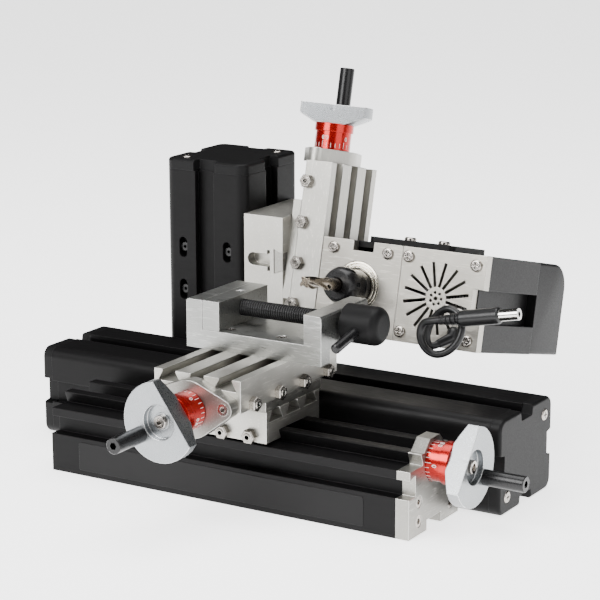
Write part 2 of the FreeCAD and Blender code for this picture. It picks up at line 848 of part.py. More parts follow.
def make_vise():
    x0 = vise_left
    x1 = vise_left + vise_length
    y0 = vise_front
    y1 = vise_front + vise_width
    floor = table_top + vise_floor
    wall = x0 + vise_wall
    far = x1 - right_wall
    body = block(x0, x1, y0, y1, table_top, vise_top)
    tools = [
        block(wall, far, y0 - 1, y1 + 1, floor, vise_top + 1),
        block(saddle_centre + module_width / 2 + 1.5, x1 + 1, y0 + vise_lip, y1 + 1,
              table_top - 1, table_top + vise_relief),
        rod(Vector(far - 1, vise_screw_y, vise_screw_z), Vector(1, 0, 0),
            vise_screw_radius + running_fit, 20),
    ]
    bolts = []
    for x, y in [(20.0, -20.9), (20.0, 6.0), (-8.0, -20.9)]:
        seat = Vector(x, y, floor - 2.6)
        tools.append(rod(seat, Vector(0, 0, 1), 2.75 + press_gap, 10))
        tools.append(rod(Vector(x, y, table_top - 1), Vector(0, 0, 1), pan_shank, 20))
        bolts.append(set_at(socket_screw(2.75, 2.3, pan_shank, floor - table_top - 2.8, 2.5), seat,
                            Vector(0, 0, 1)))
    corners = edges_along(body, Vector(0, 1, 0), lambda point: point.z > vise_top - 1)
    body = less(body.makeChamfer(0.8, corners), tools)
    save("vise_body", body)
    save("vise_bolts", bolts)
    jaw = block(wall + seat_gap, wall + seat_gap + jaw_thickness, y0, y1, floor + 0.1, vise_top)
    socket_depth = 5.0
    jaw_face = wall + seat_gap + jaw_thickness
    socket = rod(Vector(jaw_face - socket_depth, vise_screw_y, vise_screw_z), Vector(1, 0, 0),
                 vise_screw_radius + running_fit, 20)
    screw_seat = Vector(jaw_screw_x, jaw_screw_y, vise_top - 1.6)
    jaw_hole = rod(screw_seat, Vector(0, 0, 1), bolt_head_radius * 0.8 + press_gap, 5)
    pin_hole = rod(screw_seat - Vector(0, 0, 0.7), Vector(0, 0, 1), pan_shank * 0.7, 1)
    jaw_screw = socket_screw(bolt_head_radius * 0.8, 1.4, pan_shank * 0.7, 0.6, 1.8)
    jaw_screw.translate(screw_seat)
    save("vise_jaw", [less(jaw, [socket, jaw_hole, pin_hole]), jaw_screw])
    start = jaw_face - socket_depth + 0.2
    knob_start = x1 + knob_gap
    screw = rod(Vector(start, vise_screw_y, vise_screw_z), Vector(1, 0, 0), vise_screw_radius,
                knob_start + 8.0 - start)
    lever_way = Vector(0, -math.cos(math.radians(lever_drop)), -math.sin(math.radians(lever_drop)))
    knob_axis = Vector(lever_x, vise_screw_y, vise_screw_z)
    knob = rod(Vector(knob_start, vise_screw_y, vise_screw_z), Vector(1, 0, 0), knob_radius, knob_length)
    ends = [edge for edge in knob.Edges if edge.Curve.TypeId == "Part::GeomCircle"]
    far_end = [edge for edge in ends if edge.CenterOfMass.x > knob_start + 1]
    knob = knob.makeFillet(knob_dome, far_end)
    knob = less(knob, [
        rod(Vector(knob_start - 1, vise_screw_y, vise_screw_z), Vector(1, 0, 0),
            vise_screw_radius + press_gap, 9.0),
        rod(knob_axis + lever_way * 30, lever_way * -1, lever_radius + press_gap, 60),
    ])
    lever = rod(knob_axis - lever_way * (knob_radius + 2.5), lever_way, lever_radius,
                knob_radius + 2.5 + lever_reach)
    tips = [edge for edge in lever.Edges if edge.Curve.TypeId == "Part::GeomCircle"]
    lever = lever.makeChamfer(lever_chamfer, tips)
    save("vise_screw", less(screw, [rod(knob_axis + lever_way * 30, lever_way * -1,
                                        lever_radius + press_gap, 60)]))
    save("vise_knob", knob)
    save("vise_lever", lever)


# Upright slide: module frame inside the leaning frame

upright_place = frame_of(Vector(z_base_top, 0, 0), Vector(0, 0, 1), Vector(1, 0, 0))
z_place = leaning.multiply(upright_place)


def make_upright_slide():
    base = slide_base(z_base_length)
    base.translate(Vector(-z_base_length / 2, 0, 0))
    stud = rod(Vector(0, 0, -base_thickness - 12.0), Vector(0, 0, 1), stud_radius, 12.5)
    save("z_base", placed(joined([base, stud]), z_place))
    places = [11.9 + step * 20.3 for step in range(4)]
    start = Vector(z_carriage_bottom, 0, 0)
    body = carriage(z_carriage_length, slide_gap)
    body = less(body, gib_holes(places, set_screw_height) + end_bolt_holes(z_carriage_length))
    body.translate(start)
    save("z_carriage", placed(body, z_place))
    gibs = []
    for piece in gib_set(places, set_screw_height):
        piece.translate(start)
        gibs.append(placed(piece, z_place))
    save("z_gib_screws", gibs)
    end = z_carriage_bottom + z_carriage_length
    plate = slide_end_plate()
    plate.translate(Vector(end, 0, 0))
    save("z_end_plate", placed(plate, z_place))
    save("z_plate_screws", [placed(piece, z_place) for piece in end_plate_bolts(end)])


# Head, in the leaning frame

plate_screw_places = [(0.1, 3.7), (30.3, 3.7), (40.8 + 1.0, 3.7), (78.1, 3.2), (40.2 + 1.6, -32.7),
                      (77.8, -32.8)]


def make_head():
    left = head_left + 0.1
    body = block(left, head_right, plate_back, cap_seam, head_bottom, head_top)
    cavity = block(left + housing_wall, head_right - side_channel_depth - housing_wall,
                   plate_back - 1, cap_seam - housing_wall,
                   head_bottom + housing_wall, head_top - housing_wall)
    body = less(body, [cavity])
    bulkhead = block(left + housing_wall - 1, plate_seam, bulkhead_front,
                     bulkhead_front + bulkhead_thickness,
                     head_bottom + housing_wall - 1, head_top - housing_wall + 1)
    posts = []
    holes = []
    for x, z in plate_screw_places:
        posts.append(block(max(x - 4.0, left), min(x + 4.0, head_right - 1), plate_back,
                           plate_back + 6.0, max(z - 4.0, head_bottom), min(z + 4.0, head_top)))
        holes.append(rod(Vector(x, head_front - 1, z), Vector(0, 1, 0), pan_shank, 12))
    body = joined([body, bulkhead] + posts)
    side = block(head_right - side_channel_depth, head_right + 1, plate_back - 1, cap_seam + 1,
                 side_channel_bottom, side_channel_top)
    spindle_hole = rod(Vector(spindle_x, bulkhead_front - 1, spindle_z), Vector(0, 1, 0),
                       bearing_radius + press_gap, 20)
    cover_holes = [rod(Vector(x, y, head_top - 6), Vector(0, 0, 1), pan_shank, 12)
                   for x, y in cover_screw_places]
    save("head_housing", placed(less(body, [side, spindle_hole] + cover_holes + holes), leaning))

    cap = block(left, head_right, cap_seam, head_back, head_bottom, head_top)
    rim = edges_along(cap, Vector(0, 0, 1), lambda point: point.y > head_back - 1)
    rim += edges_along(cap, Vector(1, 0, 0), lambda point: point.y > head_back - 1)
    cap = cap.makeFillet(end_cap_radius, rim)
    save("head_end_cap", placed(cap, leaning))
    cover_screws = make_cover()
    make_face_plates(left, holes, cover_screws)
    motor = rod(Vector(vent_x, plate_back + 7.0, vent_z), Vector(0, 1, 0), motor_radius, motor_length)
    nose = rod(Vector(vent_x, plate_back + 4.0, vent_z), Vector(0, 1, 0), 5.0, 4.0)
    tail = rod(Vector(vent_x, plate_back + 7.0 + motor_length, vent_z), Vector(0, 1, 0), 6.0,
               cap_seam - housing_wall - plate_back - 7.0 - motor_length)
    save("motor", placed(joined([motor, nose, tail]), leaning))


def make_face_plates(left, holes, screws):
    bottom = head_bottom - 0.1
    spindle_side = block(left, plate_seam - seam_gap / 2, head_front, plate_back, bottom, head_top)
    bearing_seat = [
        rod(Vector(spindle_x, head_front - 1, spindle_z), Vector(0, 1, 0), bearing_radius + press_gap, 20),
        rod(Vector(spindle_x, head_front - 1, spindle_z), Vector(0, 1, 0), bearing_recess, 1.8),
        block(notch_left, notch_right, head_front - 1, plate_back + 1, head_top - notch_depth, 50),
    ]
    save("spindle_plate", placed(less(spindle_side, bearing_seat + holes), leaning))

    vent_side = block(plate_seam + seam_gap / 2, head_right, head_front, plate_back, bottom, head_top)
    tools = [block(head_right - 7.4 + 2.0, 200, head_front - 1, 50, side_channel_bottom, side_channel_top)]
    centre = Vector(vent_x, head_front - 1, vent_z)
    tools.append(rod(centre, Vector(0, 1, 0), vent_centre_hole, 20))
    for step in range(vent_ring_holes):
        angle = 2 * math.pi * step / vent_ring_holes
        around = Vector(math.cos(angle), 0, math.sin(angle)) * vent_ring
        tools.append(rod(centre + around, Vector(0, 1, 0), vent_hole, 20))
    for step in range(vent_slots):
        slot = block(vent_inner, vent_outer, -1, 19, -vent_slot_width / 2, vent_slot_width / 2)
        slot.rotate(Vector(0, 0, 0), Vector(0, 1, 0), 360.0 * (step + 0.5) / vent_slots)
        slot.translate(Vector(vent_x, head_front, vent_z))
        tools.append(slot)
    tools.append(rod(gland_point, Vector(0, 1, 0), cord_diameter / 2 + 0.2, 20))
    save("vent_plate", placed(less(vent_side, tools + holes), leaning))

    for x, z in plate_screw_places:
        screws.append(placed(set_at(pan_screw(reach=plate_thickness + 4.0), Vector(x, head_front, z),
                                    Vector(0, -1, 0)), leaning))
    save("head_plate_screws", screws)

    rings = []
    for front in (head_front + 0.3, bulkhead_front + 1.0):
        ring = rod(Vector(spindle_x, front, spindle_z), Vector(0, 1, 0), bearing_radius, bearing_width)
        bore = rod(Vector(spindle_x, front - 1, spindle_z), Vector(0, 1, 0),
                   journal_radius + running_fit, bearing_width + 2)
        race = rod(Vector(spindle_x, front - 1, spindle_z), Vector(0, 1, 0), 8.6, 1.4)
        race = less(race, [rod(Vector(spindle_x, front - 1, spindle_z), Vector(0, 1, 0), 6.0, 1.4)])
        rings.append(placed(less(ring, [bore, race]), leaning))
    save("spindle_bearings", rings)


def make_cover():
    cover = block(cover_left, cover_right, cover_front, cover_back, head_top, head_top + cover_thickness)
    corners = edges_along(cover, Vector(0, 0, 1), lambda point: True)
    cover = cover.makeFillet(3.0, corners)
    holes = [rod(Vector(x, y, 0), Vector(0, 0, 1), pan_shank, 30) for x, y in cover_screw_places]
    save("head_cover", placed(less(cover, holes), leaning))
    screws = []
    for x, y in cover_screw_places:
        screw = pan_screw(reach=6.0)
        screw.translate(Vector(x, y, head_top + cover_thickness))
        screws.append(placed(screw, leaning))
    return screws


def make_head_keys():
    """Black keys in the carriage's outer grooves, which lock the head to the carriage."""
    keys = []
    top = slide_gap + carriage_height
    short = 0.1
    for row, start in [(0, -34.0), (1, -36.0)]:
        middle = row * groove_pitch
        mouth = groove_mouth / 2 - short
        floor = groove_floor / 2 - short
        outline = [
            Vector(start, middle - mouth, top - 0.05),
            Vector(start, middle + mouth, top - 0.05),
            Vector(start, middle + mouth, top - 0.8),
            Vector(start, middle + floor, top - groove_depth + short),
            Vector(start, middle - floor, top - groove_depth + short),
            Vector(start, middle - mouth, top - 0.8),
        ]
        keys.append(placed(prism(outline, Vector(24.0, 0, 0)), z_place))
    save("head_keys", keys)


# Spindle, in the leaning frame; distances run forward from the face plates

def make_spindle():
    front = Vector(0, -1, 0)
    face = Vector(spindle_x, head_front, spindle_z)
    rear = face - front * (bulkhead_front - head_front + bulkhead_thickness + 8.0)
    shaft = rod(rear, front, journal_radius, (face - rear).Length + 1.0)
    collar = rod(face + front * 0.6, front, nose_radius, nose_length - 0.6)
    flat = nose_flats / 2
    for side in (-1, 1):
        start = spindle_x + side * (flat + 5)
        collar = less(collar, [block(start - 5, start + 5, head_front - nose_length - 1, head_front - 4.0,
                                     spindle_z - 20, spindle_z + 20)])
    collet = rod(face + front * (nose_length - 0.5), front, nut_nose_radius - 2.0,
                 nut_end - nose_length - 3.5)
    grip = rod(face + front * (nut_end - mill_grip), front, mill_radius + press_gap, mill_grip + 5)
    save("spindle", placed(less(joined([shaft, collar, collet]), [grip]), leaning))
    nut = rod(face + front * nut_start, front, nut_radius, nut_end - nut_start - 4.0)
    taper = cone(face + front * (nut_end - 4.0), front, nut_radius, nut_nose_radius, 4.0)
    room = rod(face + front * (nut_start - 1), front, nut_nose_radius - 2.0 + press_gap,
               nut_end - 4.0 - nut_start + 1.3)
    mouth = rod(face + front * (nut_start - 1), front, mill_radius + press_gap, 30)
    save("collet_nut", placed(less(joined([nut, taper]), [room, mouth]), leaning))
    shank = rod(face + front * (nut_end - mill_grip + 0.5), front, mill_radius,
                mill_end - nut_end + mill_grip - 0.5)
    flutes = []
    for turn in range(4):
        angle = math.radians(90 * turn)
        offset = Vector(math.cos(angle), 0, math.sin(angle)) * (mill_radius + 0.5)
        flutes.append(rod(face + front * (mill_end - mill_flute) + offset, front, 1.6, mill_flute + 1))
    save("end_mill", placed(less(shank, flutes), leaning))


# Power lead

def route_wire(points):
    """Straight runs joined by tangent arcs, each arc as large as its runs allow."""
    edges = []
    radii = []
    start = points[0]
    for before, corner, after in zip(points, points[1:], points[2:]):
        into = (corner - before)
        out = (after - corner)
        trim = 0.45 * min(into.Length, out.Length)
        into.normalize()
        out.normalize()
        turn = into.getAngle(out)
        first = corner - into * trim
        last = corner + out * trim
        radius = trim / math.tan(turn / 2)
        radii.append(radius)
        bow = (out - into).normalize()
        middle = corner + bow * (math.hypot(radius, trim) - radius)
        edges.append(Part.LineSegment(start, first).toShape())
        edges.append(Part.Arc(first, middle, last).toShape())
        start = last
    edges.append(Part.LineSegment(start, points[-1]).toShape())
    return Part.Wire(edges), radii


def make_cord():
    wire, radii = route_wire(cord_points)
    first_way = cord_points[1] - cord_points[0]
    section = Part.Wire([Part.Circle(cord_points[0], first_way, cord_diameter / 2).toShape()])
    tube = wire.makePipeShell([section], True, False)
    print("cord length", round(wire.Length, 1), "radii", [round(radius, 1) for radius in radii])
    print("cord volume ratio", round(tube.Volume / (math.pi * cord_diameter ** 2 / 4 * wire.Length), 4))
    save("cord_tube", placed(tube, leaning))

    exit_way = (cord_points[0] - cord_points[1]).normalize()
    knee = gland_point + Vector(0, -2.6, 0)
    collar = rod(gland_point, Vector(0, -1, 0), 3.2, 2.6)
    reach = cord_points[0] - knee
    sleeve = cone(cord_points[0], exit_way, cord_diameter / 2 + 0.35, 2.7, 7.0)
    inner = cord_points[0] + exit_way * 7.0
    elbow = Part.makeSphere(2.7, inner)
    link_way = knee - inner
    link = rod(inner, link_way, 2.7, link_way.Length)
    ball = Part.makeSphere(2.7, knee)
    print("gland bend starts", round(reach.Length, 1), "mm from the collar")
    gland = joined([collar, ball, link, elbow, sleeve])
    plate_side = block(0, 200, head_front, head_front + 20, -80, 20)
    save("cord_gland", placed(less(gland, [plate_side]), leaning))

    plug_start = cord_points[-1]
    plug_way = (cord_points[-1] - cord_points[-2]).normalize()
    relief = cone(plug_start, plug_way, cord_diameter / 2 + 0.3, plug_relief_radius, plug_relief_length)
    grooves = []
    for step in range(4):
        ring_at = plug_start + plug_way * (1.6 + step * 2.3)
        outer = rod(ring_at, plug_way, 6.0, 0.9)
        grooves.append(less(outer, [rod(ring_at - plug_way, plug_way, cord_diameter / 2, 4.0)]))
    relief = less(relief, grooves)
    body_start = plug_start + plug_way * plug_relief_length
    body = rod(body_start, plug_way, plug_body_radius, plug_body_length)
    rims = [edge for edge in body.Edges if edge.Curve.TypeId == "Part::GeomCircle"]
    body = body.makeFillet(1.0, rims)
    save("plug_body", placed(joined([relief, body]), leaning))
    barrel_start = body_start + plug_way * plug_body_length
    barrel = rod(barrel_start, plug_way, plug_barrel_radius, plug_barrel_length)
    bore = rod(barrel_start + plug_way * 1.0, plug_way, 1.3, plug_barrel_length)
    save("plug_barrel", placed(less(barrel, [bore]), leaning))


make_bed()
make_column()
make_joining_keys()
make_riser()
make_rail()
make_saddle()
make_cross_slide()
make_vise()
make_upright_slide()
make_head()
make_head_keys()
make_spindle()
make_cord()

bed_axis = frame_of(Vector(rail_right + end_plate_thickness - 1.6 + seat_gap, rail_centre, leadscrew_z),
                    Vector(0, -0.8, 0.6), Vector(1, 0, 0))
save_wheel("bed", bed_dial_length, rail_length + 0.5, bed_axis)
cross_axis = cross_place.multiply(wheel_frame(-table_front, cross_wheel_turn))
save_wheel("cross", cross_dial_length, table_length - 0.5, cross_axis)
z_axis = z_place.multiply(wheel_frame(z_carriage_bottom + z_carriage_length, z_wheel_turn))
save_wheel("z", z_dial_length, table_length - 3.0, z_axis)
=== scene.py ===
import json
import math

import bmesh
import bpy
from mathutils import Matrix, Vector


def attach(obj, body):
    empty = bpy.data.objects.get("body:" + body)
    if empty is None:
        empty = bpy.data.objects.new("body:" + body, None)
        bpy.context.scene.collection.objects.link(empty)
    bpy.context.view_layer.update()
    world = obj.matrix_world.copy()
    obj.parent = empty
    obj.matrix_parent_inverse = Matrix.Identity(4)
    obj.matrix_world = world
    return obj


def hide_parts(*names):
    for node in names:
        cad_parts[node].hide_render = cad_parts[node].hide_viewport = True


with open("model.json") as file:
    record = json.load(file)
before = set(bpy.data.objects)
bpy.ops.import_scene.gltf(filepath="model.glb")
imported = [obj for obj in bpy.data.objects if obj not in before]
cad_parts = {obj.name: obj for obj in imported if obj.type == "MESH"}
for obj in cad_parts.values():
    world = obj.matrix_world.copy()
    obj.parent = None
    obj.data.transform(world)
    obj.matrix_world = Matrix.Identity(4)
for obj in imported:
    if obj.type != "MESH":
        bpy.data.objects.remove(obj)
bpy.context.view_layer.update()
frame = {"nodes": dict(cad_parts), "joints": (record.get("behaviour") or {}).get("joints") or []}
print("stage: frame loaded")

mm = 0.001
xAxis = Vector((1, 0, 0))
yAxis = Vector((0, 1, 0))
zAxis = Vector((0, 0, 1))

# The head leans about a line along x through the swivel; its joints give the line and the lean
joints = {joint["name"]: joint for joint in frame["joints"]}
swivelAt = Vector(joints["head_lean"]["pos_m"])
upHead = Vector(joints["head_slide"]["axis"])
leanAngle = math.atan2(upHead.y, upHead.z)
leanFrame = Matrix.Translation((0, swivelAt.y, swivelAt.z)) @ Matrix.Rotation(-leanAngle, 4, "X")


# Camera
cameraSettings = {
    "place": (0.5216, -0.8260, 0.3225),
    "azimuth": 31.42,
    "elevation": 13.61,
    "roll": -0.12,
    "lens": 128.67,
    "sensor": 36,
    "reach": 20,
}


def makeCamera(settings):
    data = bpy.data.cameras.new("viewCamera")
    data.lens = settings["lens"]
    data.sensor_width = settings["sensor"]
    data.clip_end = settings["reach"]
    camera = bpy.data.objects.new("viewCamera", data)
    bpy.context.scene.collection.objects.link(camera)
    turn = Matrix.Rotation(math.radians(settings["azimuth"]), 4, "Z")
    tip = Matrix.Rotation(math.radians(90 - settings["elevation"]), 4, "X")
    roll = Matrix.Rotation(math.radians(settings["roll"]), 4, "Z")
    camera.matrix_world = Matrix.Translation(settings["place"]) @ turn @ tip @ roll
    bpy.context.scene.camera = camera


makeCamera(cameraSettings)
print("stage: camera")


# Shader groups that several finishes share

# Settings for the edge mask that carries the painted edge highlight, partly also edge wear
edgeHighlightAndWearLook = {"samples": 6, "radius": 0.0004, "strength": 4.0}
grainLook = {"scale": 900.0, "detail": 4.0, "roughness": 0.65, "cloudScale": 38.0, "cloudDetail": 3.0}


def newGroup(name, inputs, outputs):
    group = bpy.data.node_groups.new(name, "ShaderNodeTree")
    for label, kind, value in inputs:
        socket = group.interface.new_socket(name=label, in_out="INPUT", socket_type=kind)
        socket.default_value = value
    for label, kind in outputs:
        group.interface.new_socket(name=label, in_out="OUTPUT", socket_type=kind)
    return group, group.nodes.new("NodeGroupInput"), group.nodes.new("NodeGroupOutput")


def makeEdgeHighlightAndWearGroup():
    # Rounded-edge normal, and a mask that rises along edges and corners; the finishes use this mask to
    # paint a highlight along every edge, partly also standing for edge wear
    group, source, result = newGroup(
        "edgeHighlightAndWear",
        [("Radius", "NodeSocketFloat", edgeHighlightAndWearLook["radius"]),
         ("Strength", "NodeSocketFloat", edgeHighlightAndWearLook["strength"])],
        [("Mask", "NodeSocketFloat"), ("Normal", "NodeSocketVector")])
    nodes, links = group.nodes, group.links
    bevel = nodes.new("ShaderNodeBevel")
    bevel.samples = edgeHighlightAndWearLook["samples"]
    shape = nodes.new("ShaderNodeNewGeometry")
    dot = nodes.new("ShaderNodeVectorMath")
    dot.operation = "DOT_PRODUCT"
    flip = nodes.new("ShaderNodeMath")
    flip.operation = "SUBTRACT"
    flip.inputs[0].default_value = 1.0
    gain = nodes.new("ShaderNodeMath")
    gain.operation = "MULTIPLY"
    gain.use_clamp = True
    links.new(source.outputs["Radius"], bevel.inputs["Radius"])
    links.new(bevel.outputs["Normal"], dot.inputs[0])
    links.new(shape.outputs["Normal"], dot.inputs[1])
    links.new(dot.outputs["Value"], flip.inputs[1])
    links.new(flip.outputs["Value"], gain.inputs[0])
    links.new(source.outputs["Strength"], gain.inputs[1])
    links.new(gain.outputs["Value"], result.inputs["Mask"])
    links.new(bevel.outputs["Normal"], result.inputs["Normal"])
    return group


def makeGrainGroup():
    # Fine stretched grain of machined or brushed metal, and slow cloudy variation
    group, source, result = newGroup(
        "machinedGrain",
        [("Vector", "NodeSocketVector", (0, 0, 0)), ("Stretch", "NodeSocketVector", (1, 1, 1)),
         ("Scale", "NodeSocketFloat", grainLook["scale"])],
        [("Value", "NodeSocketFloat"), ("Cloud", "NodeSocketFloat")])
    nodes, links = group.nodes, group.links
    stretch = nodes.new("ShaderNodeVectorMath")
    stretch.operation = "MULTIPLY"
    grain = nodes.new("ShaderNodeTexNoise")
    grain.inputs["Detail"].default_value = grainLook["detail"]
    grain.inputs["Roughness"].default_value = grainLook["roughness"]
    cloud = nodes.new("ShaderNodeTexNoise")
    cloud.inputs["Scale"].default_value = grainLook["cloudScale"]
    cloud.inputs["Detail"].default_value = grainLook["cloudDetail"]
    links.new(source.outputs["Vector"], stretch.inputs[0])
    links.new(source.outputs["Stretch"], stretch.inputs[1])
    links.new(stretch.outputs["Vector"], grain.inputs["Vector"])
    links.new(source.outputs["Scale"], grain.inputs["Scale"])
    links.new(source.outputs["Vector"], cloud.inputs["Vector"])
    links.new(grain.outputs["Fac"], result.inputs["Value"])
    links.new(cloud.outputs["Fac"], result.inputs["Cloud"])
    return group


edgeHighlightAndWearGroup = makeEdgeHighlightAndWearGroup()
grainGroup = makeGrainGroup()


def mixColour(nodes, links, factor, first, second):
    mix = nodes.new("ShaderNodeMix")
    mix.data_type = "RGBA"
    links.new(factor, mix.inputs["Factor"])
    for value, socket in ((first, mix.inputs["A"]), (second, mix.inputs["B"])):
        if isinstance(value, tuple):
            socket.default_value = value + (1.0,)
        else:
            links.new(value, socket)
    return mix.outputs["Result"]


def mapRange(nodes, links, value, source, low, high):
    remap = nodes.new("ShaderNodeMapRange")
    remap.inputs["From Min"].default_value = source[0]
    remap.inputs["From Max"].default_value = source[1]
    remap.inputs["To Min"].default_value = low
    remap.inputs["To Max"].default_value = high
    links.new(value, remap.inputs["Value"])
    return remap.outputs["Result"]


# Where in the noise the grain spans, and where only its strongest lines show as marks in the colour
finishRange = {"grain": (0.3, 0.7), "scratch": (0.56, 0.70), "scratchAmount": 0.7,
               "bumpDepth": 0.0001, "coatRoughness": 0.15}


def makeFinish(name, look):
    # Cloudy base colour, grain in the roughness and bump, and edges lightened by a painted highlight that
    # partly also stands for wear
    material = bpy.data.materials.new(name)
    material.use_nodes = True
    nodes, links = material.node_tree.nodes, material.node_tree.links
    shader = nodes["Principled BSDF"]
    place = nodes.new("ShaderNodeTexCoord")
    grain = nodes.new("ShaderNodeGroup")
    grain.node_tree = grainGroup
    grain.inputs["Stretch"].default_value = look["stretch"]
    grain.inputs["Scale"].default_value = look["grainScale"]
    links.new(place.outputs["Object"], grain.inputs["Vector"])
    edgeHighlightAndWearNode = nodes.new("ShaderNodeGroup")
    edgeHighlightAndWearNode.node_tree = edgeHighlightAndWearGroup
    edgeHighlightAndWearNode.inputs["Radius"].default_value = look["edgeRadius"]
    edgeHighlightAndWearNode.inputs["Strength"].default_value = look["edgeStrength"]
    body = mixColour(nodes, links, grain.outputs["Cloud"], look["dark"], look["light"])
    if "scratch" in look:
        marks = mapRange(nodes, links, grain.outputs["Value"], finishRange["scratch"],
                         0.0, finishRange["scratchAmount"])
        body = mixColour(nodes, links, marks, body, look["scratch"])
    # The edge colour is painted onto edges and corners as a highlight, partly also standing for edge wear
    bodyWithEdgeHighlight = mixColour(nodes, links, edgeHighlightAndWearNode.outputs["Mask"], body, look["edge"])
    links.new(bodyWithEdgeHighlight, shader.inputs["Base Color"])
    rough = mapRange(nodes, links, grain.outputs["Value"], finishRange["grain"],
                     look["roughLow"], look["roughHigh"])
    links.new(rough, shader.inputs["Roughness"])
    bump = nodes.new("ShaderNodeBump")
    bump.inputs["Strength"].default_value = look["bump"]
    bump.inputs["Distance"].default_value = finishRange["bumpDepth"]
    links.new(grain.outputs["Value"], bump.inputs["Height"])
    links.new(edgeHighlightAndWearNode.outputs["Normal"], bump.inputs["Normal"])
    links.new(bump.outputs["Normal"], shader.inputs["Normal"])
    shader.inputs["Metallic"].default_value = look["metallic"]
    shader.inputs["Coat Weight"].default_value = look.get("coat", 0.0)
    shader.inputs["Coat Roughness"].default_value = finishRange["coatRoughness"]
    shader.inputs["Specular IOR Level"].default_value = look.get("specular", 0.5)
    return material
